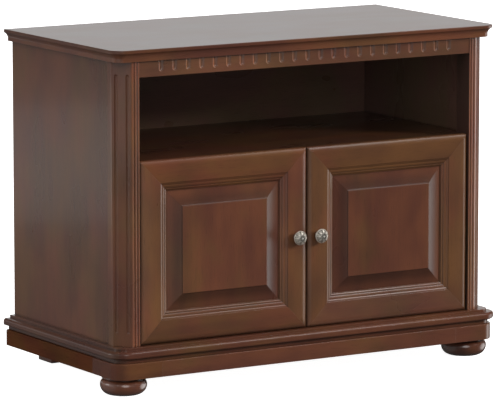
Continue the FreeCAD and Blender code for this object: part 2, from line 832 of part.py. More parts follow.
def make_knob():
    """Mushroom knob on a rose, turned about the line it stands out along, in door coordinates."""
    rose = knob_rose_diameter / 2
    neck = knob_neck_diameter / 2
    rim = knob_diameter / 2 - knob_rim_round
    rim_low = knob_rim_level - knob_rim_thickness / 2
    rim_high = knob_rim_level + knob_rim_thickness / 2
    dome_r = knob_dome_diameter / 2
    dome = dome_radius(dome_r, knob_projection - knob_dome_base)
    scotia_rise = knob_neck_start - knob_rose_thickness
    scotia = dome_radius(scotia_rise, rose - neck)
    profile = closed_face(
        xy, (0, 0), (rose, 0), (rose, -knob_rose_thickness),
        round_to(neck + scotia, -knob_neck_start, scotia, 180 - dome_angle(scotia_rise, scotia), 180),
        (neck, -knob_neck_end), (rim, -rim_low), (rim + knob_rim_round, -knob_rim_level, rim, -rim_high),
        (dome_r, -knob_dome_base),
        round_to(0, dome - knob_projection, dome, dome_angle(dome_r, dome) - 90, -90))
    return profile.revolve(Vec(0, 0, 0), Vec(0, 1, 0), 360)


def knob_place():
    return Vec(door_width - knob_edge_distance, 0, door_height / 2 + knob_rise)


def make_knob_screw():
    """Screw from the back of the stile into the knob, with a domed head."""
    head_r = knob_screw_head_diameter / 2
    shank_r = knob_screw_diameter / 2
    back = door_thickness
    dome = dome_radius(head_r, knob_screw_head)
    profile = closed_face(
        xy, (0, -knob_screw_depth), (shank_r, -knob_screw_depth), (shank_r, back), (head_r, back),
        round_to(0, back + knob_screw_head - dome, dome, 90 - dome_angle(head_r, dome), 90))
    screw = profile.revolve(Vec(0, 0, 0), Vec(0, 1, 0), 360)
    screw.translate(knob_place())
    return screw


def make_hinge_cup(level):
    """Cup that sits in the stile, with its flange, arm pocket and pin bore, at the hinge line's height."""
    centre_x = cup_centre_inset
    back = door_thickness
    body = rod(cup_diameter, Vec(centre_x, back - cup_depth, level), Vec(0, 1, 0), cup_depth)
    half = cup_flange_width / 2
    flange_end = cup_flange_length / 2 - half
    flange = closed_face(xz, (centre_x - half, level - flange_end),
                         round_to(centre_x, level - flange_end, half, 180, 360),
                         (centre_x + half, level + flange_end),
                         round_to(centre_x, level + flange_end, half, 0, 180))
    flange.translate(Vec(0, back, 0))
    cup = body.fuse(flange.extrude(Vec(0, cup_flange_thickness, 0)))
    eye_room = arm_eye_diameter / 2 + cup_pocket_room
    pocket_half = arm_height / 2 + cup_pocket_room
    pocket = box(hinge_pin_inset - eye_room, hinge_pin_inset + arm_reach + arm_thickness,
                 hinge_pin_depth - eye_room, back + cup_flange_thickness + cut_over,
                 level - pocket_half, level + pocket_half)
    bore = rod(hinge_pin_diameter + 2 * pin_seat_clearance,
               Vec(hinge_pin_inset, hinge_pin_depth, level - cup_diameter), Vec(0, 0, 1), 2 * cup_diameter)
    return cup.cut([pocket, bore])


def make_hinge_pin(level):
    """Pin through the arm's eye, seated in the cup above and below it."""
    length = arm_height + 2 * hinge_pin_end_seat
    foot = Vec(hinge_pin_inset, hinge_pin_depth, level - length / 2)
    return rod(hinge_pin_diameter, foot, Vec(0, 0, 1), length)


def make_hinge_arm(level):
    """Cranked arm from the eye on the pin, out of the cup and back to the plate on the post."""
    half = arm_thickness / 2
    plate_face = -hinge_pin_inset - hinge_gap + plate_thickness
    plan = closed_face(
        xy, (0, -half), (arm_reach, -half), (arm_reach, arm_back), (plate_face + arm_thickness, arm_back),
        (plate_face + arm_thickness, arm_foot_end), (plate_face, arm_foot_end),
        (plate_face, arm_back - arm_thickness), (arm_reach - arm_thickness, arm_back - arm_thickness),
        (arm_reach - arm_thickness, half), (0, half))
    up = Vec(0, 0, 1)
    arm = plan.extrude(up * arm_height)
    arm = arm.fuse(rod(arm_eye_diameter, Vec(0, 0, 0), up, arm_height))
    bore = hinge_pin_diameter + 2 * hinge_clearance
    arm = arm.cut(rod(bore, Vec(0, 0, -cut_over), up, arm_height + 2 * cut_over))
    arm.translate(Vec(hinge_x, hinge_y, level - arm_height / 2))
    return arm


def plate_screw_places(level):
    """Seats of a hinge plate's two screws, on the plate's face."""
    x = -opening_half + plate_thickness
    y = hinge_y + plate_back - plate_screw_margin
    offset = plate_height / 2 - plate_screw_margin
    return [Vec(x, y, level - offset), Vec(x, y, level + offset)]


def make_hinge_plate(level):
    """Mounting plate on the inner face of the post and its batten."""
    plate = box(-opening_half, -opening_half + plate_thickness, hinge_y + plate_front, hinge_y + plate_back,
                level - plate_height / 2, level + plate_height / 2)
    plate = plate.makeFillet(plate_corner_radius, upright_edges(plate, plate_thickness, 0))
    for place in plate_screw_places(level):
        bore = plate_screw_diameter + 2 * dowel_clearance
        start = place - Vec(plate_thickness + cut_over, 0, 0)
        plate = plate.cut(rod(bore, start, Vec(1, 0, 0), plate_thickness + 2 * cut_over))
    return plate


def make_plate_screws(level):
    screws = []
    inwards = Vec(1, 0, 0)
    for place in plate_screw_places(level):
        shank = rod(plate_screw_diameter, place - inwards * plate_screw_length, inwards, plate_screw_length)
        head = Part.makeCone(plate_screw_head_diameter / 2, plate_screw_tip_diameter / 2, plate_screw_head,
                             place, inwards)
        screws.append(shank.fuse(head))
    return screws


def make_strike():
    """Steel plate on the back of the door's top rail, opposite the catch."""
    x = -catch_offset - door_left
    z = shelf_underside - catch_height / 2 - door_bottom
    plate = box(x - catch_width / 2, x + catch_width / 2, door_thickness, door_thickness + strike_thickness,
                z - strike_height / 2, z + strike_height / 2)
    return plate.makeFillet(strike_corner_radius, upright_edges(plate, strike_thickness, 1))


def make_catches():
    """Magnet catches screwed under the niche floor."""
    front = post_front + door_thickness + strike_thickness + catch_gap
    low = shelf_underside - catch_height
    catches = []
    for x in (-catch_offset, catch_offset):
        catch = box(x - catch_width / 2, x + catch_width / 2, front, board_front + catch_depth,
                    low, shelf_underside)
        lower = [e for e in catch.Edges if e.BoundBox.ZMax < low + 0.01]
        catches.append(catch.makeFillet(catch_round, lower))
    return catches


def make_foot_bolts(diameter, end_room):
    """Bolts that hold the bun feet to the corner blocks, or with room at their ends the bores for them."""
    reach = foot_bolt_reach + end_room
    foot = Vec(-plinth_half + bun_side_inset, plinth_front + bun_front_inset, foot_height - reach)
    bolt = rod(diameter, foot, Vec(0, 0, 1), 2 * reach)
    return [bolt, mirrored(bolt)]


def bored_for_bolts(shape):
    return shape.cut(make_foot_bolts(foot_bolt_diameter + 2 * dowel_clearance, dowel_end_room))


def save_carcass():
    joints = make_joints()
    save("top_panel", joints.drilled(make_top()))
    save("frieze_rail", make_frieze(joints))
    save_pair("corner_post", make_left_post(joints))
    save_pair("hinge_batten", make_left_hinge_batten())
    save_pair("side_panel", make_left_side_panel(joints))
    save("back_panel", joints.drilled(make_back_panel()))
    save("top_rear_rail", joints.drilled(make_top_rear_rail()))
    save("niche_shelf", notched_board(shelf_underside, joints))
    save("bottom_panel", notched_board(carcass_bottom, joints))
    save("inner_shelf", make_inner_shelf())
    save_group("shelf_pins", make_shelf_pins())
    save_group("carcass_dowels", joints.pins)
    save_group("back_panel_screws", joints.screws)
    save_group("door_catches", make_catches())
    for name, shape in make_base_moulding().items():
        save(name, joints.drilled(shape))


def save_base():
    for name, shape in make_plinth().items():
        save(name, bored_for_bolts(shape) if "corner" in name else shape)
    save_pair("bun_foot", bored_for_bolts(make_left_bun_foot()))
    save_pair("block_foot", make_left_block_foot())
    save_group("foot_bolts", make_foot_bolts(foot_bolt_diameter, 0))


def save_doors():
    """Left door, made with its lower hinge-side front corner at the origin, and its mirror image."""
    to_back = Vec(0, 1, 0)
    stile = make_frame_member(door_height)
    rail = make_frame_member(door_width)
    hinge_stile, lock_stile, top_rail, bottom_rail = four_sides(stile, rail)
    local_levels = [level - door_bottom for level in hinge_levels]
    for level in local_levels:
        seat_centre = Vec(cup_centre_inset, door_thickness - cup_depth, level)
        seat = rod(cup_diameter + 2 * dowel_clearance, seat_centre, to_back, cup_depth + cut_over)
        hinge_stile = hinge_stile.cut(seat)
    place = knob_place()
    bore = knob_screw_diameter + 2 * dowel_clearance
    through = door_thickness + 2 * cut_over
    lock_stile = lock_stile.cut(rod(bore, place - to_back * cut_over, to_back, through))
    knob = make_knob()
    knob.translate(place)
    knob_bore = knob_screw_depth + dowel_end_room
    knob = knob.cut(rod(bore, place - to_back * knob_bore, to_back, knob_bore + cut_over))
    pieces = {
        "door_hinge_stile": hinge_stile,
        "door_lock_stile": lock_stile,
        "door_top_rail": top_rail,
        "door_bottom_rail": bottom_rail,
        "door_panel": make_door_panel(),
        "knob": knob,
        "knob_screw": make_knob_screw(),
        "door_strike": make_strike(),
        "hinge_cups": Part.makeCompound([make_hinge_cup(level) for level in local_levels]),
        "hinge_pins": Part.makeCompound([make_hinge_pin(level) for level in local_levels]),
    }
    for name, shape in pieces.items():
        shape.translate(Vec(door_left, post_front, door_bottom))
        save_pair(name, shape)


def save_hinge_fixings():
    save_pair("hinge_arms", Part.makeCompound([make_hinge_arm(level) for level in hinge_levels]))
    save_pair("hinge_plates", Part.makeCompound([make_hinge_plate(level) for level in hinge_levels]))
    screws = []
    for level in hinge_levels:
        screws += make_plate_screws(level)
    save_pair("hinge_plate_screws", Part.makeCompound(screws))


os.makedirs("parts", exist_ok=True)
save_carcass()
save_base()
save_doors()
save_hinge_fixings()
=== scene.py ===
# %% [markdown]
# # A two-door television stand in stained wood
# This lesson dresses a packed cabinet: the boards, doors, feet and hinges already have their
# true shapes and places, so the work here is finish, light and the small cast and driven
# pieces that catch the eye. The frame comes first, because every later piece takes its place from it.

# %% Load the frame
import math

import bmesh
import bpy
from mathutils import Matrix, Vector


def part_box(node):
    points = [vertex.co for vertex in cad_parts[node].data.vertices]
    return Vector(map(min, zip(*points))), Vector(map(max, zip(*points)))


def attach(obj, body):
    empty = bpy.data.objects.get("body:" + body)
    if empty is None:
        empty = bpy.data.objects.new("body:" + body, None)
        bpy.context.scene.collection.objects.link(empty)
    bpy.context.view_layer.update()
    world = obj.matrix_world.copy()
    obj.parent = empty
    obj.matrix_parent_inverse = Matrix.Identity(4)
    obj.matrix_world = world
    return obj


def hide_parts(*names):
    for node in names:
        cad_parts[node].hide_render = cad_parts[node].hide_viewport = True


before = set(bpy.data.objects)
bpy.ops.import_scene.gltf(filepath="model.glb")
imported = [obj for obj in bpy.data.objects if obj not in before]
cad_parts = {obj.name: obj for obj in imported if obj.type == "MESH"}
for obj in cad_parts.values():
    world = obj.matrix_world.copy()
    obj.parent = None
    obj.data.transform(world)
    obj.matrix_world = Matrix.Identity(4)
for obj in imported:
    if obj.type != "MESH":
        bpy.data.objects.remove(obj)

scene = bpy.context.scene
SIDES = ("left", "right")
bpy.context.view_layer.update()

# %% [markdown]
# ## The camera
# The stand was photographed from far away with a long lens, a little above its top and turned
# to its left corner. A long lens keeps the uprights nearly parallel. Aiming a plain camera, with
# no lens shift and no depth of field, keeps every other view honest too.

# %% Camera at the photograph's angle
CAMERA_PLACE = (-5.0575, -8.2844, 1.8606)
CAMERA_YAW = math.radians(31.36)
CAMERA_PITCH = math.radians(8.75)
CAMERA_LENS = 312.5

camera_data = bpy.data.cameras.new("photo_camera")
camera_data.lens = CAMERA_LENS
camera_data.sensor_width = 36.0
camera_data.clip_end = 200.0
camera = bpy.data.objects.new("photo_camera", camera_data)
camera.location = CAMERA_PLACE
camera.rotation_euler = (math.pi / 2 - CAMERA_PITCH, 0.0, -CAMERA_YAW)
scene.collection.objects.link(camera)
scene.camera = camera
scene.view_settings.view_transform = "Standard"
print("camera lens", CAMERA_LENS, "mm from", CAMERA_PLACE)

# %% [markdown]
# ## Node helpers
# Shader and geometry trees are easier to read when a node is added in one line. The first helpers
# make a node, and fill or link its inputs by name. The others wrap the few nodes used most.


# %% Helpers for node trees
def fill(tree, socket, value):
    """Links a socket to another one, or sets it to a plain value."""
    if isinstance(value, bpy.types.NodeSocket):
        tree.links.new(value, socket)
    else:
        socket.default_value = value


def add(tree, kind, **inputs):
    """Adds a node. Each keyword is an input's name, with _ for a space."""
    made = tree.nodes.new(kind)
    for name, value in inputs.items():
        fill(tree, made.inputs[name.replace("_", " ")], value)
    return made


def arithmetic(tree, operation, *values):
    """A Math node on one to three values or sockets."""
    made = tree.nodes.new("ShaderNodeMath")
    made.operation = operation
    for socket, value in zip(made.inputs, values):
        fill(tree, socket, value)
    return made.outputs[0]


def vector_arithmetic(tree, operation, first, second):
    """A Vector Math node on two vectors; a dot product gives a value."""
    made = tree.nodes.new("ShaderNodeVectorMath")
    made.operation = operation
    fill(tree, made.inputs[0], first)
    fill(tree, made.inputs[1], second)
    return made.outputs["Value"] if operation == "DOT_PRODUCT" else made.outputs["Vector"]


def remap(tree, value, low, high, to_low=0.0, to_high=1.0):
    """A smooth Map Range from low..high to to_low..to_high."""
    made = tree.nodes.new("ShaderNodeMapRange")
    made.interpolation_type = "SMOOTHSTEP"
    for socket, number in zip(made.inputs, (value, low, high, to_low, to_high)):
        fill(tree, socket, number)
    return made.outputs[0]


def mix_colour(tree, factor, first, second, blend="MIX"):
    """A Mix node on two colours, whose sockets are numbers 0, 6 and 7."""
    made = tree.nodes.new("ShaderNodeMix")
    made.data_type = "RGBA"
    made.blend_type = blend
    for index, value in ((0, factor), (6, first), (7, second)):
        fill(tree, made.inputs[index], value)
    return made.outputs[2]


def noise(tree, vector, scale, detail=3.0, roughness=0.5):
    """The grey value of a Noise Texture."""
    made = add(tree, "ShaderNodeTexNoise", Vector=vector, Scale=scale, Detail=detail, Roughness=roughness)
    return made.outputs["Fac"]


print("node helpers ready")

# %% [markdown]
# ## Floor and light
# The picture has a plain white ground and soft studio light: a tall bright wall to the right and
# behind, a glow from above, and little from the front, so the lacquer keeps its depth there.
# Large lamps could give all of it, but with much noise, so the soft boxes are painted on the world as
# wide smooth lobes. A key light from the right adds the shadows, a spot the gleam on the front edges,
# and faint cards at the left the soft streaks in the lacquer of the side and its post.
# A pale floor that glows a little carries the contact shadow.

# %% Soft boxes on the world
# Each has a direction, the cosines where it starts and where it is full, and a strength.
# The first set lights the matt colour of the wood, the second is what the lacquer mirrors.
FILL_BOXES = {
    "right_wall": ((1.0, -0.2, 0.1), 0.62, 0.95, 0.35),
    "ceiling": ((0.2, -0.3, 0.93), 0.50, 0.92, 0.25),
    "left_wall": ((-0.85, -0.30, 0.42), 0.50, 0.95, 1.05),
    "camera_side": ((-0.20, -0.65, 0.73), 0.60, 0.95, 0.45),
    "rear_wall": ((0.30, 0.95, 0.12), 0.40, 0.95, 0.75),
}
MIRROR_BOXES = {
    "right_wall": ((0.985, -0.10, -0.12), 0.885, 0.970, 1.9),
    "back_wall": ((0.48, 0.86, 0.17), 0.90, 0.975, 0.72),
    "ceiling": ((0.52, -0.45, 0.73), 0.93, 0.985, 1.0),
    "left_wall": ((-0.90, 0.40, -0.10), 0.55, 0.92, 0.17),
    "camera_side": ((-0.33, -0.90, 0.28), 0.93, 0.978, 2.0),
}
AMBIENT = 0.08

world = bpy.data.worlds.new("studio")
scene.world = world
world.use_nodes = True
studio = world.node_tree
direction = add(studio, "ShaderNodeTexCoord").outputs["Generated"]


def painted(boxes):
    """Brightness of the studio's walls in every direction."""
    glow = AMBIENT
    for aim, start, full, strength in boxes.values():
        facing = vector_arithmetic(studio, "DOT_PRODUCT", direction, Vector(aim).normalized())
        glow = arithmetic(studio, "ADD", remap(studio, facing, start, full, 0.0, strength), glow)
    return glow


mirrored = add(studio, "ShaderNodeLightPath").outputs["Is Glossy Ray"]
seen = mix_colour(studio, mirrored, painted(FILL_BOXES), painted(MIRROR_BOXES))
fill(studio, studio.nodes["Background"].inputs["Color"], seen)
print("soft boxes", len(FILL_BOXES), "for light and", len(MIRROR_BOXES), "for reflections")

# %% Key light, spot and cards
# Each lamp has a place, an aim, a size and a power.
KEY_LIGHT = (Vector((6.3, -6.76, 4.05)), Vector((0.0, 0.0, 0.3)), (2.4, 2.4), 745.0)
SPOT_LIGHT = (Vector((2.05, -1.75, 3.1)), Vector((0.25, -0.25, 0.5)), (0.9, 0.9), 14.0)
CARDS = {
    "side_card": (Vector((-1.25, 1.27, 0.27)), Vector((-0.476, 0.0, 0.45)), (1.8, 0.30), 0.66),
    "post_card": (Vector((-1.27, -0.09, 0.24)), Vector((-0.49, -0.22, 0.35)), (0.6, 0.52), 0.27),
    "window_card": (Vector((-1.47, 0.335, 0.38)), Vector((-0.50, -0.22, 0.10)), (0.50, 0.34), 0.9),
    "cant_card": (Vector((-1.33, -0.74, 0.50)), Vector((-0.48, -0.22, 0.60)), (0.35, 0.30), 0.2),
    "near_card": (Vector((-0.32, -1.00, 0.20)), Vector((-0.32, -0.25, 0.30)), (0.64, 0.36), 0.14),
}


def area_light(name, place, aim, size, power):
    """A rectangular lamp that the camera doesn't see."""
    lamp = bpy.data.lights.new(name, "AREA")
    lamp.shape = "RECTANGLE"
    lamp.size, lamp.size_y = size
    lamp.energy = power
    made = bpy.data.objects.new(name, lamp)
    made.location = place
    made.rotation_euler = (aim - place).to_track_quat("-Z", "Y").to_euler()
    made.visible_camera = False
    scene.collection.objects.link(made)
    return made


area_light("key_light", *KEY_LIGHT).visible_glossy = False
area_light("spot_light", *SPOT_LIGHT)
cards = {name: area_light(name, *setting) for name, setting in CARDS.items()}
cards["window_card"].visible_diffuse = False
print("key light", KEY_LIGHT[-1], "W, cards", len(cards))

# %% Floor
FLOOR_HALF = 30.0
FLOOR_LEVEL = -0.0002
FLOOR_GREY = (0.8, 0.8, 0.8, 1.0)
FLOOR_GLOW = 0.97

floor_mesh = bpy.data.meshes.new("studio_floor")
quadrants = [(-1, -1), (1, -1), (1, 1), (-1, 1)]
corners = [(x * FLOOR_HALF, y * FLOOR_HALF, FLOOR_LEVEL) for x, y in quadrants]
floor_mesh.from_pydata(corners, [], [(0, 1, 2, 3)])
floor = bpy.data.objects.new("studio_floor", floor_mesh)
scene.collection.objects.link(floor)
floor.visible_glossy = False
floor.visible_diffuse = False
floor_paint = bpy.data.materials.new("floor_paint")
floor_paint.use_nodes = True
floor_shader = floor_paint.node_tree.nodes["Principled BSDF"]
floor_shader.inputs["Base Color"].default_value = FLOOR_GREY
floor_shader.inputs["Roughness"].default_value = 0.9
floor_shader.inputs["Emission Color"].default_value = (1.0, 1.0, 1.0, 1.0)
floor_shader.inputs["Emission Strength"].default_value = FLOOR_GLOW
floor_mesh.materials.append(floor_paint)
print("floor", 2 * FLOOR_HALF, "m wide")

# %% [markdown]
# ## Shared finishes
# Three effects belong to every wooden piece: the figure of the wood under its stain, the darker
# glaze and painted shade in the hollows of the mouldings, and the slightly rounded arris of each edge.
# A fourth, worn metal, serves the knobs and the hinges. They could be built anew in every material, but
# a node group is built once and used with its own values in each.


# %% Group helpers
def new_group(name, inputs, outputs):
    """A shader node group with named sockets; gives the group, its inputs and its outputs."""
    group = bpy.data.node_groups.new(name, "ShaderNodeTree")
    for label, kind, default in inputs:
        socket = group.interface.new_socket(name=label, in_out="INPUT", socket_type="NodeSocket" + kind)
        socket.default_value = default
    for label, kind in outputs:
        group.interface.new_socket(name=label, in_out="OUTPUT", socket_type="NodeSocket" + kind)
    entry = group.nodes.new("NodeGroupInput").outputs
    leave = group.nodes.new("NodeGroupOutput").inputs
    return group, entry, leave


def use_group(tree, group, **inputs):
    """Places a group in a tree. Each keyword is an input's name, with _ for a space."""
    made = tree.nodes.new("ShaderNodeGroup")
    made.node_tree = group
    for name, value in inputs.items():
        fill(tree, made.inputs[name.replace("_", " ")], value)
    return made.outputs


print("group helpers ready")

# %% Figure of stained wood
# How each pattern is stretched: across the grain twice, then along it.
CLOUD_STRETCH = (1, 1, 0.5)
STREAK_STRETCH = (55, 55, 2.6)
PORE_STRETCH = (800, 800, 38)
DRIFT_STRETCH = (1, 1, 0.7)
CLOUD_SCALE = 11.0
DRIFT_SCALE = 8.0
# Greys of the noise between which each pattern rises, and what it rises to.
FIGURE_GREYS = (0.30, 0.70)
PORE_GREYS = (0.56, 0.72)
DRIFT_GREYS = (0.36, 0.64)
CLOUD_SHARE = (0.13, 0.62)
STREAK_SHARE = (0.0, 0.18)
PORE_SHADE = (1.0, 0.75)
STREAK_RELIEF = 0.4
RED_TINT = (1.06, 0.90, 1.04, 1.0)
GOLD_TINT = (0.98, 1.06, 0.96, 1.0)


def make_stain_figure():
    """Clouds of stain that drift from red to gold, streaks along the grain (Z) and fine pores."""
    group, entry, leave = new_group(
        "stain_figure",
        [("Vector", "Vector", (0, 0, 0)), ("Dark Stain", "Color", (0.05, 0.015, 0.008, 1)),
         ("Amber Stain", "Color", (0.2, 0.07, 0.03, 1)), ("Tone", "Float", 1.0), ("Gloss", "Float", 0.3),
         ("Wear", "Float", 0.03), ("Gold", "Float", 0.0)],
        [("Colour", "Color"), ("Roughness", "Float"), ("Height", "Float")])

    def stretched(stretch, scale, detail, roughness):
        place = vector_arithmetic(group, "MULTIPLY", entry["Vector"], stretch)
        return noise(group, place, scale, detail, roughness)

    cloud = stretched(CLOUD_STRETCH, CLOUD_SCALE, 2.0, 0.5)
    streak = stretched(STREAK_STRETCH, 1.0, 5.0, 0.6)
    pores = remap(group, stretched(PORE_STRETCH, 1.0, 2.0, 0.5), *PORE_GREYS)
    cloud_part = remap(group, cloud, *FIGURE_GREYS, *CLOUD_SHARE)
    streak_part = remap(group, streak, *FIGURE_GREYS, *STREAK_SHARE)
    amber = arithmetic(group, "ADD", cloud_part, streak_part)
    stained = mix_colour(group, amber, entry["Dark Stain"], entry["Amber Stain"])
    drift = stretched(DRIFT_STRETCH, DRIFT_SCALE, 3.0, 0.6)
    golden = remap(group, arithmetic(group, "ADD", drift, entry["Gold"]), *DRIFT_GREYS)
    tint = mix_colour(group, golden, RED_TINT, GOLD_TINT)
    colour = mix_colour(group, 1.0, stained, tint, "MULTIPLY")
    shade = arithmetic(group, "MULTIPLY", entry["Tone"], remap(group, pores, 0.0, 1.0, *PORE_SHADE))
    shade_colour = add(group, "ShaderNodeCombineColor", Red=shade, Green=shade, Blue=shade).outputs[0]
    fill(group, leave["Colour"], mix_colour(group, 1.0, colour, shade_colour, "MULTIPLY"))
    uneven = remap(group, cloud, *FIGURE_GREYS, -1.0, 1.0)
    fill(group, leave["Roughness"], arithmetic(group, "MULTIPLY_ADD", uneven, entry["Wear"], entry["Gloss"]))
    ripple = arithmetic(group, "MULTIPLY", streak, STREAK_RELIEF)
    fill(group, leave["Height"], arithmetic(group, "SUBTRACT", ripple, pores))
    return group


stain_figure = make_stain_figure()
print("group", stain_figure.name)

# %% Glaze and painted shade in hollows
# Share of open sky at which a hollow is full of glaze and painted shade, and at which it has none.
HOLLOW_SKY = (0.55, 0.92)


def make_hollow_glaze_and_shade():
    """Darkens a colour in grooves and corners, as painted shade together with glaze on wood and patina on
    silver.
    """
    group, entry, leave = new_group(
        "hollow_glaze_and_shade",
        [("Colour", "Color", (0.1, 0.05, 0.03, 1)), ("Glaze", "Color", (0.02, 0.008, 0.005, 1)),
         ("Reach", "Float", 0.01), ("Amount", "Float", 0.7)],
        [("Colour", "Color"), ("Hollow", "Float")])
    open_sky = add(group, "ShaderNodeAmbientOcclusion", Distance=entry["Reach"])
    open_sky.samples = 4
    hollow = remap(group, open_sky.outputs["AO"], *HOLLOW_SKY, 1.0, 0.0)
    strength = arithmetic(group, "MULTIPLY", hollow, entry["Amount"])
    fill(group, leave["Colour"], mix_colour(group, strength, entry["Colour"], entry["Glaze"]))
    fill(group, leave["Hollow"], hollow)
    return group


hollow_glaze_and_shade = make_hollow_glaze_and_shade()
print("group", hollow_glaze_and_shade.name)

# %% Rounded arris
# Cosine between the eased and the flat normal: an edge at the first, none at the second.
EDGE_AGREEMENT = (0.80, 0.99)


def make_soft_arris():
    """Normal of an edge eased with fine paper, and a mask of where the edge is."""
    group, entry, leave = new_group(
        "soft_arris", [("Radius", "Float", 0.001)], [("Normal", "Vector"), ("Edge", "Float")])
    eased = add(group, "ShaderNodeBevel", Radius=entry["Radius"])
    eased.samples = 4
    flat = group.nodes.new("ShaderNodeNewGeometry").outputs["Normal"]
    agreement = vector_arithmetic(group, "DOT_PRODUCT", eased.outputs[0], flat)
    fill(group, leave["Normal"], eased.outputs[0])
    fill(group, leave["Edge"], remap(group, agreement, *EDGE_AGREEMENT, 1.0, 0.0))
    return group


soft_arris = make_soft_arris()
print("group", soft_arris.name)

# %% Worn metal
TARNISH_GREYS = (0.40, 0.70)
TARNISH_ROUGHNESS = 0.15


def make_worn_metal():
    """Uneven sheen and faint spots of tarnish on cast or pressed metal."""
    group, entry, leave = new_group(
        "worn_metal",
        [("Vector", "Vector", (0, 0, 0)), ("Bright", "Color", (0.7, 0.7, 0.68, 1)),
         ("Dull", "Color", (0.4, 0.38, 0.35, 1)), ("Grain Size", "Float", 300.0), ("Gloss", "Float", 0.25)],
        [("Colour", "Color"), ("Roughness", "Float"), ("Height", "Float")])
    spots = noise(group, entry["Vector"], entry["Grain Size"], 4.0, 0.6)
    dulled = remap(group, spots, *TARNISH_GREYS)
    fill(group, leave["Colour"], mix_colour(group, dulled, entry["Bright"], entry["Dull"]))
    rough = arithmetic(group, "MULTIPLY_ADD", dulled, TARNISH_ROUGHNESS, entry["Gloss"])
    fill(group, leave["Roughness"], rough)
    fill(group, leave["Height"], spots)
    return group


worn_metal = make_worn_metal()
print("group", worn_metal.name)

# %% [markdown]
# ## Stained and lacquered boards
# Each board of the real stand is cut from its own plank, so the grain runs along its length and no two
# boards share a pattern. The stain took a little more on some than on others, and drifts from red to gold.
# One picture of wood could be wrapped around everything, but it would repeat and stretch. Here one
# function makes the finish, and each board gets its own copy with another grain direction, another part
# of the plank, and its own tone and sheen.

# %% Finish of each board
# Tone scales the stain, sheen is the lacquer's strength, glaze and shade the glaze and painted shade in
# hollows, gloss the mean roughness and wear its change, relief the depth of the pores, and arris the radius
# of the edges.
PLAIN_FINISH = {"tone": 1.0, "sheen": 0.5, "glaze_and_shade": 0.55, "gloss": 0.3, "wear": 0.03, "relief": 0.25,
                "arris": 0.0012}
FINISH_OF_BOARD = {
    "top_panel": {"tone": 0.55, "glaze_and_shade": 0.1, "wear": 0.012, "relief": 0.05},
    "niche_shelf": {"tone": 0.55},
    "frieze_rail": {"sheen": 1.0, "glaze_and_shade": 0.15, "arris": 0.002},
    "left_side_panel": {"tone": 1.02},
    "left_corner_post": {"tone": 1.15, "glaze_and_shade": 0.2},
    # The right post's high tone is partly a painted sheen, lighter in place of the lacquer's reflection
    # there.
    "right_corner_post": {"tone": 1.5, "sheen": 1.0, "glaze_and_shade": 0.1},
    "left_door_panel": {"tone": 0.93, "arris": 0.0025},
    "right_door_panel": {"tone": 0.83, "arris": 0.0025},
    "left_door_hinge_stile": {"tone": 1.12},
    "right_door_hinge_stile": {"tone": 0.92},
    "left_door_top_rail": {"sheen": 0.15},
    "right_door_top_rail": {"tone": 0.92, "sheen": 0.25},
    "left_door_bottom_rail": {"tone": 0.86},
    "right_door_bottom_rail": {"sheen": 1.0},
    "front_base_moulding": {"tone": 0.80, "sheen": 0.42, "glaze_and_shade": 0.2},
    "left_base_moulding": {"tone": 0.75, "sheen": 0.6},
    "front_plinth_board": {"tone": 0.90},
    "left_plinth_board": {"tone": 0.70, "sheen": 0.0},
    "left_plinth_corner": {"tone": 0.90, "sheen": 0.2},
    "right_plinth_corner": {"tone": 0.90},
    "left_bun_foot": {"tone": 1.05, "sheen": 1.0, "gloss": 0.2},
    "right_bun_foot": {"tone": 0.7, "sheen": 0.8, "gloss": 0.2},
}
# How far the stain of each kind of board leans to gold, or below zero to red.
GOLD_OF_KIND = {
    "door_panel": -0.10, "stile": 0.06, "door_top_rail": 0.06, "door_bottom_rail": 0.02, "top_panel": -0.08,
    "base_moulding": -0.08, "plinth_board": -0.08, "plinth_corner": -0.08, "bun_foot": -0.06,
}
print("boards with a finish of their own", len(FINISH_OF_BOARD))

# %% Lacquer over the stain
# Painted shade with glaze: hollows found by ambient occlusion are mixed towards this near-black.
GLAZE_AND_SHADE = (0.016, 0.006, 0.004, 1.0)
GLAZE_AND_SHADE_REACH = 0.006
# Edges are mixed towards this lighter amber: partly rub-through, partly a painted highlight.
RUB_AND_HIGHLIGHT = (0.24, 0.11, 0.06, 1.0)
RUB_AND_HIGHLIGHT_SHARE = 0.3
PORE_DEPTH = 0.00015
COAT_SHARE = 0.6
COAT_ROUGHNESS = 0.12


def new_material(name):
    """A new material, its tree and its shader."""
    material = bpy.data.materials.new(name)
    material.use_nodes = True
    tree = material.node_tree
    return material, tree, tree.nodes["Principled BSDF"]


def object_place(tree, turn=(0, 0, 0), shift=(0, 0, 0)):
    """Object coordinates, turned and shifted to another part of the pattern."""
    coordinates = add(tree, "ShaderNodeTexCoord").outputs["Object"]
    return add(tree, "ShaderNodeMapping", Vector=coordinates, Rotation=turn, Location=shift).outputs[0]


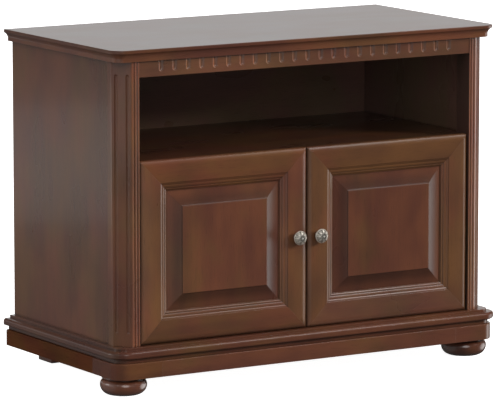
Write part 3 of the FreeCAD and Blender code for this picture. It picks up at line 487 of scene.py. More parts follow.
def lacquer(tree, shader, figure, colour, finish, arris_radius):
    """Painted shade and glaze in hollows, a painted highlight and rub on edges, satin lacquer over stain."""
    glazed_and_shaded = use_group(tree, hollow_glaze_and_shade, Colour=colour, Glaze=GLAZE_AND_SHADE, Reach=GLAZE_AND_SHADE_REACH,
                       Amount=finish["glaze_and_shade"])
    arris = use_group(tree, soft_arris, Radius=arris_radius)
    edge = arithmetic(tree, "MULTIPLY", arris["Edge"], RUB_AND_HIGHLIGHT_SHARE)
    fill(tree, shader.inputs["Base Color"], mix_colour(tree, edge, glazed_and_shaded["Colour"], RUB_AND_HIGHLIGHT))
    fill(tree, shader.inputs["Roughness"], figure["Roughness"])
    relief = add(tree, "ShaderNodeBump", Strength=finish["relief"], Distance=PORE_DEPTH,
                 Height=figure["Height"], Normal=arris["Normal"])
    fill(tree, shader.inputs["Normal"], relief.outputs[0])
    shader.inputs["Specular IOR Level"].default_value = finish["sheen"]
    shader.inputs["Coat Weight"].default_value = COAT_SHARE * finish["sheen"]
    shader.inputs["Coat Roughness"].default_value = COAT_ROUGHNESS


print("lacquer ready")

# %% [markdown]
# ### Where the stain is thick or thin, and where light and shade are painted
# A finisher wipes the wet stain off with a rag. The bevels are cut across the grain and drink more of it;
# their darker colour is partly that stain and partly painted shade, most on the lowest bevel, which faces
# down. The beads, the top's cove and fillet, and the flanks of flutes are painted lighter: painted light and
# highlights. Such places could be painted by hand, but they follow the shape: a rule on the surface's own
# slope, or on the distance from an edge, finds them all and keeps to them in every view. Two more such
# rules give the door its rounded meeting edge and the cabinet its plain veneer inside, darkened with painted
# shade.


# %% Slope and place of a point
def own_normal(tree):
    """The surface's own normal, which turns with its piece."""
    return add(tree, "ShaderNodeTexCoord").outputs["Normal"]


def own_slope(tree):
    """X, Y and Z of the surface's own normal."""
    return add(tree, "ShaderNodeSeparateXYZ", Vector=own_normal(tree)).outputs


def own_place(tree):
    """X, Y and Z of a point on the piece."""
    return add(tree, "ShaderNodeSeparateXYZ", Vector=object_place(tree)).outputs


print("slope and place ready")

# %% Stain, painted shade and painted highlights on bevels, beads and flutes
# Panel bevels are darker, partly stain and partly painted shade; the low bevel, which faces down, has more
# painted shade.
BEVEL_STAIN_AND_SHADE = 0.60
BEVEL_FACING = (0.955, 0.995)
LOW_BEVEL_SHADE = 0.86
LOW_BEVEL_TILT = (-0.25, -0.08)
# Beads of the left post are painted lighter, a painted highlight.
BEAD_HIGHLIGHT = 1.35
BEAD_INSET = (0.016, 0.019)
FRIEZE_FADE = 0.8
FRIEZE_FADE_ZONE = (-0.12, 0.05)
# Flanks of the flutes are painted lighter by their slope: painted highlights.
LEFT_FLANK_HIGHLIGHT = 2.6
RIGHT_FLANK_HIGHLIGHT = 1.5
FLANK_TILT_START = 0.1
FLANK_TILT_FULL = 0.6


def bevel_tone(tree, tone):
    """Darker where a door panel's face slopes, partly stain and partly painted shade, most on the low bevel
    facing down.
    """
    slope = own_slope(tree)
    facing = arithmetic(tree, "ABSOLUTE", slope["Y"])
    sloped = remap(tree, facing, *BEVEL_FACING, tone * BEVEL_STAIN_AND_SHADE, tone)
    low_bevel_shade = remap(tree, slope["Z"], *LOW_BEVEL_TILT, LOW_BEVEL_SHADE, 1.0)
    return arithmetic(tree, "MULTIPLY", sloped, low_bevel_shade)


def post_tone(tree, tone):
    """Beads of the left post painted lighter, as a painted highlight."""
    inner_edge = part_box("left_corner_post")[1].x
    inset = arithmetic(tree, "SUBTRACT", inner_edge, own_place(tree)["X"])
    return remap(tree, inset, *BEAD_INSET, tone * BEAD_HIGHLIGHT, tone)


def frieze_tone(tree, tone):
    """Stain that grows darker to the right of the frieze, with painted highlights on the flanks of its
    flutes.
    """
    flat = remap(tree, own_place(tree)["X"], *FRIEZE_FADE_ZONE, tone, tone * FRIEZE_FADE)
    sideways = own_slope(tree)["X"]
    left_flank = remap(tree, sideways, FLANK_TILT_START, FLANK_TILT_FULL, 1.0, LEFT_FLANK_HIGHLIGHT)
    right_flank = remap(tree, sideways, -FLANK_TILT_FULL, -FLANK_TILT_START, RIGHT_FLANK_HIGHLIGHT, 1.0)
    flanks = arithmetic(tree, "MULTIPLY", left_flank, right_flank)
    return arithmetic(tree, "MULTIPLY", flat, flanks)


# The flank values printed here are painted highlights.
print("stain of the flutes, left and right", LEFT_FLANK_HIGHLIGHT, RIGHT_FLANK_HIGHLIGHT)

# %% Stain and painted light on the edge of the top
# Depths below the top's face where the lip ends and where the fillet begins.
LIP_DEPTH = (0.0065, 0.0080)
FILLET_DEPTH = (0.0178, 0.0188)
LIP_STAIN = 0.8
# The cove is painted lighter as painted light from below, the left fillet as a painted highlight.
COVE_BOUNCE_LIGHT = 1.2
FILLET_STAIN = 1.0
LEFT_FILLET_HIGHLIGHT = 1.2
LEFT_FILLET_TILT = (-0.9, -0.6)
FLAT_TILT = (0.90, 0.99)


def top_tone(tree, tone):
    """Darker flat, lighter lip, painted light from below on the cove, a painted highlight on the left fillet.
    """
    depth = arithmetic(tree, "SUBTRACT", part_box("top_panel")[1].z, own_place(tree)["Z"])
    slope = own_slope(tree)
    fillet = remap(tree, slope["X"], *LEFT_FILLET_TILT, LEFT_FILLET_HIGHLIGHT, FILLET_STAIN)
    below_lip = remap(tree, depth, *FILLET_DEPTH, COVE_BOUNCE_LIGHT, fillet)
    edge = remap(tree, depth, *LIP_DEPTH, LIP_STAIN, below_lip)
    return remap(tree, slope["Z"], *FLAT_TILT, edge, tone)


# The cove and left fillet values printed here are painted light.
print("stain of lip, cove and fillet", LIP_STAIN, COVE_BOUNCE_LIGHT, FILLET_STAIN)

# %% Meeting edge, and veneer and painted shade inside
WIDE_ARRIS = 0.010
MEETING_INSET = (0.014, 0.018)
VENEER_DARK = (0.150, 0.085, 0.055, 1.0)
VENEER_PALE = (0.210, 0.120, 0.078, 1.0)
INWARD_FACING = (0.94, 0.99)


def meeting_arris(tree, arris):
    """A wide soft arris along the edge where the left door meets the right one."""
    meeting_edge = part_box("left_door_lock_stile")[1].x
    inset = arithmetic(tree, "SUBTRACT", meeting_edge, own_place(tree)["X"])
    return remap(tree, inset, *MEETING_INSET, WIDE_ARRIS, arris)


def shaded_veneer_inside(tree, colour, place, inward, tone):
    """Plain dull veneer, as on the back, darkened as painted shade where a face looks into the cabinet."""
    facing = vector_arithmetic(tree, "DOT_PRODUCT", own_normal(tree), inward)
    veneer = use_group(tree, stain_figure, Vector=place, Dark_Stain=VENEER_DARK, Amber_Stain=VENEER_PALE,
                       Tone=tone)
    return mix_colour(tree, remap(tree, facing, *INWARD_FACING), colour, veneer["Colour"])


print("meeting edge eased by", WIDE_ARRIS, "m")

# %% One board
INWARDS = {"left": Vector((1, 0, 0)), "right": Vector((-1, 0, 0))}
GRAIN_TURN = {"x": (0.0, -math.pi / 2, 0.0), "y": (math.pi / 2, 0.0, 0.0), "z": (0.0, 0.0, 0.0)}
PLANK_STEP = Vector((0.73, 1.31, 2.17))
DARK_STAIN = (0.078, 0.0310, 0.0190, 1.0)
AMBER_STAIN = (0.160, 0.0640, 0.0245, 1.0)
TONE_RULES = {
    "left_door_panel": bevel_tone, "right_door_panel": bevel_tone, "left_corner_post": post_tone,
    "frieze_rail": frieze_tone, "top_panel": top_tone,
}
# Inner faces are plain veneer, darkened with painted shade for the dark inside of the niche.
INSIDE_SHADE_TONES = {
    "left_side_panel": 0.66, "right_side_panel": 0.66, "left_corner_post": 0.3, "right_corner_post": 0.3,
}


def stained_wood(board, grain, plank):
    """Stain and satin lacquer on one board."""
    material, tree, shader = new_material("wood_" + board)
    finish = {**PLAIN_FINISH, **FINISH_OF_BOARD.get(board, {})}
    place = object_place(tree, GRAIN_TURN[grain], PLANK_STEP * plank)
    tone = finish["tone"]
    if board in TONE_RULES:
        tone = TONE_RULES[board](tree, tone)
    gold = sum(amount for kind, amount in GOLD_OF_KIND.items() if board.endswith(kind))
    figure = use_group(tree, stain_figure, Vector=place, Dark_Stain=DARK_STAIN, Amber_Stain=AMBER_STAIN,
                       Tone=tone, Gold=gold, Gloss=finish["gloss"], Wear=finish["wear"])
    colour = figure["Colour"]
    if board in INSIDE_SHADE_TONES:
        inward = INWARDS[board.split("_")[0]]
        colour = shaded_veneer_inside(tree, colour, place, inward, INSIDE_SHADE_TONES[board])
    arris_radius = finish["arris"]
    if board == "left_door_lock_stile":
        arris_radius = meeting_arris(tree, arris_radius)
    lacquer(tree, shader, figure, colour, finish, arris_radius)
    return material


print("wood finish ready")

# %% Which way the grain runs
LONE_BOARDS = ["top_panel", "frieze_rail", "niche_shelf", "bottom_panel", "inner_shelf", "top_rear_rail",
               "front_base_moulding", "front_plinth_board", "rear_base_rail", "rear_plinth_board"]
PAIRED_BOARDS = {
    "x": ["door_top_rail", "door_bottom_rail", "plinth_corner"],
    "y": ["base_moulding", "plinth_board"],
    "z": ["corner_post", "hinge_batten", "side_panel", "bun_foot", "block_foot",
          "door_hinge_stile", "door_lock_stile", "door_panel"],
}
SAME_PLANK = {"left_plinth_corner": "front_plinth_board", "right_plinth_corner": "front_plinth_board"}

boards = {name: "x" for name in LONE_BOARDS}
for axis, kinds in PAIRED_BOARDS.items():
    boards.update({side + "_" + kind: axis for side in SIDES for kind in kinds})


def dress(node, material):
    """Gives a CAD node one finish."""
    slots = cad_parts[node].data.materials
    slots.clear()
    slots.append(material)


planks = sorted(boards)
for name in planks:
    plank = planks.index(SAME_PLANK.get(name, name))
    dress(name, stained_wood(name, boards[name], plank))
print("boards finished", len(boards))

# %% [markdown]
# ## The back board
# The thin back is veneered on the side that shows in the niche and left as bare hardboard behind.
# Two boards could be modelled, but one sheet with two finishes is what it is: the object's own
# normal tells the front face from the rear one.

# %% Veneered front, bare rear
HARDBOARD_DARK = (0.115, 0.068, 0.038, 1.0)
HARDBOARD_PALE = (0.190, 0.120, 0.070, 1.0)
BACK_PLANK = (0.4, 3.1, 1.7)
FIBRE_SCALE = 260.0
BARE_ROUGHNESS = 0.4

back_finish, tree, shader = new_material("back_board")
place = object_place(tree, GRAIN_TURN["x"], BACK_PLANK)
veneer = use_group(tree, stain_figure, Vector=place, Dark_Stain=VENEER_DARK, Amber_Stain=VENEER_PALE)
fibres = noise(tree, object_place(tree), FIBRE_SCALE, 6.0, 0.7)
hardboard = mix_colour(tree, remap(tree, fibres, 0.35, 0.65), HARDBOARD_DARK, HARDBOARD_PALE)
rear = remap(tree, own_slope(tree)["Y"], 0.4, 0.6)
fill(tree, shader.inputs["Base Color"], mix_colour(tree, rear, veneer["Colour"], hardboard))
bare = arithmetic(tree, "MULTIPLY", rear, BARE_ROUGHNESS)
fill(tree, shader.inputs["Roughness"], arithmetic(tree, "ADD", veneer["Roughness"], bare))
relief = add(tree, "ShaderNodeBump", Strength=0.2, Distance=0.0002, Height=fibres)
fill(tree, shader.inputs["Normal"], relief.outputs[0])
dress("back_panel", back_finish)
print("back board finished")

# %% [markdown]
# ## Metal, plastic and dowels
# The knobs are cast and silvered, then darkened so that black stays in the hollows. The hinges are
# plated steel, the catches moulded brown plastic, and the dowels plain beech. A plain colour for each
# would do from afar, but these patterns also hold up when a door is opened close to the camera.

# %% Aged silver
SILVER = (0.88, 0.82, 0.72, 1.0)
SILVER_DULL = (0.62, 0.56, 0.46, 1.0)
PATINA = (0.012, 0.011, 0.009, 1.0)
PATINA_REACH = 0.004
SOOT_ROUGHNESS = 0.35

aged_silver, tree, shader = new_material("aged_silver")
metal = use_group(tree, worn_metal, Vector=object_place(tree), Bright=SILVER, Dull=SILVER_DULL,
                  Grain_Size=700.0)
aged = use_group(tree, hollow_glaze_and_shade, Colour=metal["Colour"], Glaze=PATINA, Reach=PATINA_REACH, Amount=0.97)
blackened = tree.nodes.new("ShaderNodeAttribute")
blackened.attribute_name = "patina"
black_part = arithmetic(tree, "MULTIPLY", blackened.outputs["Fac"], 0.9)
fill(tree, shader.inputs["Base Color"], mix_colour(tree, black_part, aged["Colour"], PATINA))
dark_part = arithmetic(tree, "MAXIMUM", aged["Hollow"], black_part)
soot = arithmetic(tree, "MULTIPLY", dark_part, SOOT_ROUGHNESS)
fill(tree, shader.inputs["Roughness"], arithmetic(tree, "ADD", metal["Roughness"], soot))
relief = add(tree, "ShaderNodeBump", Strength=0.15, Distance=0.0001, Height=metal["Height"])
fill(tree, shader.inputs["Normal"], relief.outputs[0])
shader.inputs["Metallic"].default_value = 0.6
print("finish", aged_silver.name)

# %% Hinge steel
STEEL = (0.68, 0.67, 0.64, 1.0)
STEEL_DULL = (0.52, 0.51, 0.49, 1.0)
# The steel is made darker in the hinge's hollows, found by ambient occlusion.
HINGE_HOLLOW_DARK = (0.1, 0.095, 0.085, 1.0)
HINGE_HOLLOW_REACH = 0.003
BRUSH_STRETCH = (1.0, 1.0, 0.08)
STEEL_ARRIS = 0.0004

hinge_steel, tree, shader = new_material("hinge_steel")
brushed = add(tree, "ShaderNodeMapping", Vector=object_place(tree), Scale=BRUSH_STRETCH).outputs[0]
metal = use_group(tree, worn_metal, Vector=brushed, Bright=STEEL, Dull=STEEL_DULL, Grain_Size=900.0,
                  Gloss=0.22)
hollow_darkened = use_group(tree, hollow_glaze_and_shade, Colour=metal["Colour"], Glaze=HINGE_HOLLOW_DARK, Reach=HINGE_HOLLOW_REACH, Amount=0.7)
fill(tree, shader.inputs["Base Color"], hollow_darkened["Colour"])
fill(tree, shader.inputs["Roughness"], metal["Roughness"])
eased = use_group(tree, soft_arris, Radius=STEEL_ARRIS)
fill(tree, shader.inputs["Normal"], eased["Normal"])
shader.inputs["Metallic"].default_value = 1.0
print("finish", hinge_steel.name)

# %% Catch plastic and beech dowels
PLASTIC_DARK = (0.052, 0.026, 0.016, 1.0)
PLASTIC_PALE = (0.075, 0.040, 0.026, 1.0)
PLASTIC_ARRIS = 0.0006
BEECH_DARK = (0.46, 0.29, 0.16, 1.0)
BEECH_PALE = (0.60, 0.41, 0.25, 1.0)

catch_plastic, tree, shader = new_material("catch_plastic")
grain = noise(tree, object_place(tree), 1400.0, 3.0, 0.6)
shade = mix_colour(tree, remap(tree, grain, 0.35, 0.65), PLASTIC_DARK, PLASTIC_PALE)
fill(tree, shader.inputs["Base Color"], shade)
fill(tree, shader.inputs["Roughness"], remap(tree, grain, 0.3, 0.7, 0.38, 0.52))
eased = use_group(tree, soft_arris, Radius=PLASTIC_ARRIS)
relief = add(tree, "ShaderNodeBump", Strength=0.3, Distance=0.0001, Height=grain, Normal=eased["Normal"])
fill(tree, shader.inputs["Normal"], relief.outputs[0])

beech, tree, shader = new_material("beech_dowel")
place = object_place(tree, GRAIN_TURN["x"])
figure = use_group(tree, stain_figure, Vector=place, Dark_Stain=BEECH_DARK, Amber_Stain=BEECH_PALE, Gloss=0.6)
fill(tree, shader.inputs["Base Color"], figure["Colour"])
fill(tree, shader.inputs["Roughness"], figure["Roughness"])
print("finishes", catch_plastic.name, beech.name)

# %% Fittings get their finishes
FITTINGS = {
    aged_silver: ["left_knob", "right_knob"],
    hinge_steel: ["foot_bolts", "shelf_pins", "back_panel_screws"],
    catch_plastic: ["door_catches"],
    beech: ["carcass_dowels"],
}
STEEL_PAIRS = ["hinge_cups", "hinge_pins", "hinge_arms", "hinge_plates", "hinge_plate_screws", "door_strike",
               "knob_screw"]
FITTINGS[hinge_steel] += [side + "_" + name for side in SIDES for name in STEEL_PAIRS]
for material, names in FITTINGS.items():
    for name in names:
        dress(name, material)
undressed = set(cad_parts) - set(boards) - {"back_panel"} - set(sum(FITTINGS.values(), []))
print("nodes without a finish", sorted(undressed))

# %% [markdown]
# ## Cast knobs
# The knob's body comes from the frame: a turned mushroom. Its face is cast as a rosette of leaves inside
# a ring of beads. A bump in the material could hint at it, but the relief shows in the outline, so it is
# shaped: one leaf lies on the dome, and Geometry Nodes repeat it around the knob's axis, which is how
# a carver lays out such a flower too.


# %% Helpers for meshes
def mesh_object(name, shape):
    """A new scene object from a bmesh, with doubles merged and faces outwards."""
    bmesh.ops.remove_doubles(shape, verts=shape.verts, dist=1e-6)
    bmesh.ops.recalc_face_normals(shape, faces=shape.faces)
    mesh = bpy.data.meshes.new(name)
    shape.to_mesh(mesh)
    shape.free()
    made = bpy.data.objects.new(name, mesh)
    scene.collection.objects.link(made)
    return made


def piece_from(name, meshes, place=Matrix()):
    """One object at the origin from several meshes, moved to their place."""
    shape = bmesh.new()
    for mesh in meshes:
        shape.from_mesh(mesh)
    shape.transform(place)
    merged = bpy.data.meshes.new(name)
    shape.to_mesh(merged)
    shape.free()
    for material in meshes[0].materials:
        merged.materials.append(material)
    merged.polygons.foreach_set("use_smooth", [True] * len(merged.polygons))
    made = bpy.data.objects.new(name, merged)
    scene.collection.objects.link(made)
    return made


print("mesh helpers ready")


# %% Helpers for Geometry Nodes
def new_tree(name, inputs):
    """A Geometry Nodes tree with named inputs and one geometry output."""
    tree = bpy.data.node_groups.new(name, "GeometryNodeTree")
    for label, kind in inputs:
        tree.interface.new_socket(name=label, in_out="INPUT", socket_type="NodeSocket" + kind)
    tree.interface.new_socket(name="Shape", in_out="OUTPUT", socket_type="NodeSocketGeometry")
    return tree, tree.nodes.new("NodeGroupInput").outputs


def end_tree(tree, instances, finish):
    """Realizes the instances and gives them their finish, as every tree here ends."""
    solid = add(tree, "GeometryNodeRealizeInstances", Geometry=instances).outputs[0]
    finished = add(tree, "GeometryNodeSetMaterial", Geometry=solid, Material=finish).outputs[0]
    leave = tree.nodes.new("NodeGroupOutput")
    tree.links.new(finished, leave.inputs[0])


def grown(pattern, tree, **values):
    """The plain mesh that a tree makes from a pattern object, which is used up."""
    modifier = pattern.modifiers.new(tree.name, "NODES")
    modifier.node_group = tree
    for item in tree.interface.items_tree:
        if item.in_out == "INPUT" and item.name in values:
            modifier[item.identifier] = values[item.name]
    evaluated = pattern.evaluated_get(bpy.context.evaluated_depsgraph_get())
    mesh = bpy.data.meshes.new_from_object(evaluated)
    pattern.modifiers.remove(modifier)
    bpy.data.objects.remove(pattern)
    return mesh


print("tree helpers ready")

# %% Tree that repeats a shape around an axis
around_axis, entry = new_tree("around_axis", [("Shape", "Geometry"), ("Count", "Int"), ("Phase", "Float"),
                                              ("Finish", "Material")])
places = add(around_axis, "GeometryNodeMeshLine", Count=entry["Count"], Offset=(0, 0, 0)).outputs[0]
index = around_axis.nodes.new("GeometryNodeInputIndex").outputs[0]
step = arithmetic(around_axis, "DIVIDE", 2 * math.pi, entry["Count"])
angle = arithmetic(around_axis, "MULTIPLY_ADD", index, step, entry["Phase"])
turn = add(around_axis, "ShaderNodeCombineXYZ", Z=angle).outputs[0]
turned = add(around_axis, "FunctionNodeEulerToRotation", Euler=turn).outputs[0]
ring = add(around_axis, "GeometryNodeInstanceOnPoints", Points=places, Instance=entry["Shape"],
           Rotation=turned)
end_tree(around_axis, ring.outputs[0], entry["Finish"])
print("tree", around_axis.name)

# %% One leaf on the dome
KNOB_DOME_RADIUS = 0.01513
LEAF_FOOT = 0.16
LEAF_ROUNDNESS = 0.55
LEAF_EDGE_SINK = 0.0003
LEAF_CREASE = 0.35
LEAF_CREASE_PLACE = 0.35
BLACK_EDGE_POWER = 2.5


def leaf(start, end, half_turn, lift_start, lift_end, black_to, rows=12, columns=10):
    """A hollowed leaf with a midrib on the dome, between two polar angles, black at its foot and edges."""
    shape = bmesh.new()
    patina = shape.verts.layers.float.new("patina")
    grid = []
    for row in range(rows + 1):
        along = row / rows
        swell = math.sin(math.pi * (LEAF_FOOT + (1 - LEAF_FOOT) * along))
        fullness = max(swell, 0.0) ** LEAF_ROUNDNESS
        lift = lift_start + (lift_end - lift_start) * along
        polar = math.radians(start + (end - start) * along)
        line = []
        for column in range(columns + 1):
            across = 2 * column / columns - 1
            rise = lift * (1 - across ** 4) - LEAF_EDGE_SINK * across ** 4
            crease = LEAF_CREASE * lift * (abs(across) - LEAF_CREASE_PLACE) ** 2
            turn = math.radians(half_turn) * fullness * across
            reach = math.sin(polar)
            outward = Vector((math.cos(turn) * reach, math.sin(turn) * reach, math.cos(polar)))
            line.append(shape.verts.new(outward * (KNOB_DOME_RADIUS + rise - crease)))
            black_foot = max(0.0, 1 - along / black_to)
            line[-1][patina] = min(1.0, abs(across) ** BLACK_EDGE_POWER + black_foot)
        grid.append(line)
    for low, high in zip(grid, grid[1:]):
        for a, b, c, d in zip(low, low[1:], high[1:], high):
            shape.faces.new((a, b, c, d))
    return mesh_object("leaf", shape)


print("leaf on a dome of radius", KNOB_DOME_RADIUS)

# %% Leaves, beads and boss of a knob
LEAF_COUNT = 8
OUTER_LEAF = {"start": 17, "end": 68, "half_turn": 17.5, "lift_start": 0.0007, "lift_end": 0.0019,
              "black_to": 0.4}
INNER_LEAF = {"start": 7, "end": 36, "half_turn": 16.0, "lift_start": 0.0004, "lift_end": 0.0015,
              "black_to": 1.1}
BEAD_COUNT = 18
BEAD_RADIUS = 0.0016
BEAD_PLACE = (0.0143, 0, 0.0056)
BOSS_RADIUS = 0.0016
BOSS_PROUD = 0.0003
FACE_FRONT = Matrix.Rotation(math.pi / 2, 4, "X")


def bead(radius, place):
    """A small ball."""
    shape = bmesh.new()
    bmesh.ops.create_icosphere(shape, subdivisions=3, radius=radius, matrix=Matrix.Translation(place))
    return mesh_object("bead", shape)


def ring_of(shape, count, phase=0.0):
    """A shape repeated around the knob's axis."""
    return grown(shape, around_axis, Count=count, Phase=phase, Finish=aged_silver)


def rosette():
    """Meshes of one rosette, with the dome's centre at the origin and its axis up."""
    boss_place = (0, 0, KNOB_DOME_RADIUS - BOSS_RADIUS + BOSS_PROUD)
    outer = ring_of(leaf(**OUTER_LEAF), LEAF_COUNT)
    inner = ring_of(leaf(**INNER_LEAF), LEAF_COUNT, math.pi / LEAF_COUNT)
    rim = ring_of(bead(BEAD_RADIUS, BEAD_PLACE), BEAD_COUNT)
    boss = ring_of(bead(BOSS_RADIUS, boss_place), 1)
    return [outer, inner, rim, boss]


for side in SIDES:
    low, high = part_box(side + "_knob")
    dome_centre = Vector(((low.x + high.x) / 2, low.y + KNOB_DOME_RADIUS, (low.z + high.z) / 2))
    knob_face = piece_from(side + "_knob_rosette", rosette(), Matrix.Translation(dome_centre) @ FACE_FRONT)
    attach(knob_face, side + "_door")
    print(knob_face.name, len(knob_face.data.polygons), "faces")

# %% [markdown]
# ## Screws
# The back is held by rows of cross-head screws, and each hinge plate, hinge cup and knob by a few more.
# Each could be placed by hand, but all are alike: one head is modelled with its recess, and Geometry
# Nodes set it at every place, with the size and facing stored on the points and a fixed seed for how
# far each was turned home.

# %% Tree that sets screw heads
driven, entry = new_tree("driven_screws", [("Places", "Geometry"), ("Head", "Object"), ("Seed", "Int"),
                                           ("Finish", "Material")])


def stored(tree, name, kind):
    """The socket of an attribute that is stored on the points."""
    made = add(tree, "GeometryNodeInputNamedAttribute", Name=name)
    made.data_type = kind
    return next(socket for socket in made.outputs if socket.enabled and socket.name == "Attribute")


aligned = add(driven, "FunctionNodeAlignRotationToVector", Vector=stored(driven, "facing", "FLOAT_VECTOR"))
aligned.axis = "Z"
chance = driven.nodes.new("FunctionNodeRandomValue")
chance.data_type = "FLOAT"
# Input 3 is the greatest value of a random float, here a full turn.
fill(driven, chance.inputs[3], 2 * math.pi)
fill(driven, chance.inputs["Seed"], entry["Seed"])
spin = add(driven, "FunctionNodeAxisAngleToRotation", Axis=(0, 0, 1), Angle=chance.outputs[1]).outputs[0]
seated = add(driven, "FunctionNodeRotateRotation", Rotation=aligned.outputs[0], Rotate_By=spin)
seated.rotation_space = "LOCAL"
head_shape = add(driven, "GeometryNodeObjectInfo", Object=entry["Head"]).outputs["Geometry"]
heads = add(driven, "GeometryNodeInstanceOnPoints", Points=entry["Places"], Instance=head_shape,
            Rotation=seated.outputs[0], Scale=stored(driven, "size", "FLOAT"))
end_tree(driven, heads.outputs[0], entry["Finish"])
print("tree", driven.name)

# %% One cross-head screw, of unit radius
HEAD_STEPS = 24
CROSS_ARM = 0.56
CROSS_SLOT = 0.15
# Size and level of each ring: up the side and dome of the head, then down into the recess.
DOME_RINGS = [(1.0, 0.0), (1.0, 0.16), (0.93, 0.32), (0.78, 0.43), (0.64, 0.48)]
CROSS_RINGS = [(1.0, 0.50), (0.82, 0.20), (0.1, 0.16)]


def cross_outline(arm, slot):
    """Outline of the cross recess, six points to a quarter turn."""
    middle = (arm + slot) / 2
    quarter = [(arm, 0), (arm, slot), (middle, slot), (slot, slot), (slot, middle), (slot, arm)]
    points = []
    for turn in range(4):
        rotation = Matrix.Rotation(turn * math.pi / 2, 2)
        points += [rotation @ Vector(corner) for corner in quarter]
    return points


def screw_head():
    """A low domed head on its seat at z = 0, with a cross recess."""
    angles = [2 * math.pi * step / HEAD_STEPS for step in range(HEAD_STEPS)]
    circle = [Vector((math.cos(angle), math.sin(angle))) for angle in angles]
    cross = cross_outline(CROSS_ARM, CROSS_SLOT)
    rings = [(circle, *ring) for ring in DOME_RINGS] + [(cross, *ring) for ring in CROSS_RINGS]
    shape = bmesh.new()
    lines = []
    for outline, size, level in rings:
        lines.append([shape.verts.new((*(point * size), level)) for point in outline])
    for low, high in zip(lines, lines[1:]):
        for index in range(HEAD_STEPS):
            after = (index + 1) % HEAD_STEPS
            shape.faces.new((low[index], low[after], high[after], high[index]))
    shape.faces.new(lines[-1])
    shape.faces.new(reversed(lines[0]))
    return mesh_object("screw_head", shape)


print("head with", len(cross_outline(CROSS_ARM, CROSS_SLOT)), "points around its recess")


# %% Helpers for the places of screws
def solid_boxes(node, along, reach=0.008):
    """Boxes of a node's separate solids, told apart across the axis they lie along."""
    across = [axis for axis in range(3) if axis != along]
    boxes = []
    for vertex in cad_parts[node].data.vertices:
        point = vertex.co
        for low, high in boxes:
            if all(low[axis] - reach < point[axis] < high[axis] + reach for axis in across):
                low[:] = [min(pair) for pair in zip(low, point)]
                high[:] = [max(pair) for pair in zip(high, point)]
                break
        else:
            boxes.append((point.copy(), point.copy()))
    return boxes


def heads_at(name, screws, seed):
    """A piece of screw heads; each screw has a place, a facing and a radius."""
    points = bpy.data.meshes.new(name + "_places")
    points.from_pydata([place for place, facing, radius in screws], [], [])
    points.attributes.new("facing", "FLOAT_VECTOR", "POINT")
    points.attributes.new("size", "FLOAT", "POINT")
    for index, (place, facing, radius) in enumerate(screws):
        points.attributes["facing"].data[index].vector = facing
        points.attributes["size"].data[index].value = radius
    pattern = bpy.data.objects.new(name + "_places", points)
    scene.collection.objects.link(pattern)
    head = screw_head()
    mesh = grown(pattern, driven, Head=head, Seed=seed, Finish=hinge_steel)
    bpy.data.objects.remove(head)
    return piece_from(name, [mesh])


print("screws in the back", len(solid_boxes("back_panel_screws", 1)))

# %% Screws on the cabinet
REARWARDS = Vector((0, 1, 0))
BACK_HEAD_RADIUS = 0.004
PLATE_HEAD_RADIUS = 0.0038
CABINET_SEED = 3

cabinet_screws = []
back_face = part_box("back_panel")[1].y
for low, high in solid_boxes("back_panel_screws", 1):
    middle = (low + high) / 2
    cabinet_screws.append((Vector((middle.x, back_face, middle.z)), REARWARDS, BACK_HEAD_RADIUS))
for side in SIDES:
    plate_low, plate_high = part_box(side + "_hinge_plates")
    plate_face = plate_high.x if side == "left" else plate_low.x
    for low, high in solid_boxes(side + "_hinge_plate_screws", 0):
        middle = (low + high) / 2
        cabinet_screws.append((Vector((plate_face, middle.y, middle.z)), INWARDS[side], PLATE_HEAD_RADIUS))
cabinet_heads = heads_at("cabinet_screw_heads", cabinet_screws, CABINET_SEED)
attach(cabinet_heads, "cabinet")
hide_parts("back_panel_screws", "left_hinge_plate_screws", "right_hinge_plate_screws")
print(cabinet_heads.name, len(cabinet_screws), "heads")

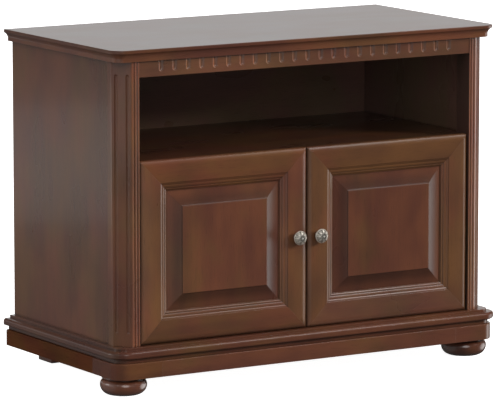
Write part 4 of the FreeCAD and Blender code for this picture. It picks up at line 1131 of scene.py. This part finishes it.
# %% Screws on the doors
KNOB_HEAD_RADIUS = 0.0045
FLANGE_HEAD_RADIUS = 0.0034
FLANGE_SCREW_STEP = 0.0225
CUP_REACH = 0.03
DOOR_SEEDS = {"left": 10, "right": 11}

for side in SIDES:
    door_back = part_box(side + "_door_lock_stile")[1].y
    low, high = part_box(side + "_knob_screw")
    middle = (low + high) / 2
    door_screws = [(Vector((middle.x, door_back, middle.z)), REARWARDS, KNOB_HEAD_RADIUS)]
    for low, high in solid_boxes(side + "_hinge_cups", 1, CUP_REACH):
        middle = (low + high) / 2
        for step in (-FLANGE_SCREW_STEP, FLANGE_SCREW_STEP):
            place = Vector((middle.x, high.y, middle.z + step))
            door_screws.append((place, REARWARDS, FLANGE_HEAD_RADIUS))
    door_heads = heads_at(side + "_door_screw_heads", door_screws, DOOR_SEEDS[side])
    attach(door_heads, side + "_door")
    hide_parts(side + "_knob_screw")
    print(door_heads.name, len(door_screws), "heads")

# %% [markdown]
# ## Pole pieces of the catches
# A magnetic catch shows two thin steel plates in its plastic case, which meet the strike on the door.
# A stripe of another colour could stand in for them, but a plate has edges that catch the light. So they
# are small boxes with eased edges, which stand a tenth of a millimetre proud of the case.

# %% Pole pieces
POLE_PROUD = 0.0001
POLE_DEPTH = 0.002
POLE_MARGIN = 0.003
POLE_HEIGHT = 0.0022
POLE_SHARES = (0.3, 0.7)
POLE_EASE = 0.00008

poles = bmesh.new()
for low, high in solid_boxes("door_catches", 1):
    for share in POLE_SHARES:
        level = low.z + (high.z - low.z) * share
        pole_low = Vector((low.x + POLE_MARGIN, low.y - POLE_PROUD, level - POLE_HEIGHT / 2))
        pole_high = Vector((high.x - POLE_MARGIN, low.y + POLE_DEPTH, level + POLE_HEIGHT / 2))
        size = Matrix.Diagonal((pole_high - pole_low).to_4d())
        place = Matrix.Translation((pole_low + pole_high) / 2)
        bmesh.ops.create_cube(poles, size=1.0, matrix=place @ size)
bmesh.ops.bevel(poles, geom=poles.edges, offset=POLE_EASE, segments=2, affect="EDGES")
catch_poles = mesh_object("catch_poles", poles)
catch_poles.data.materials.append(hinge_steel)
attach(catch_poles, "cabinet")
print(catch_poles.name, len(catch_poles.data.polygons), "faces")
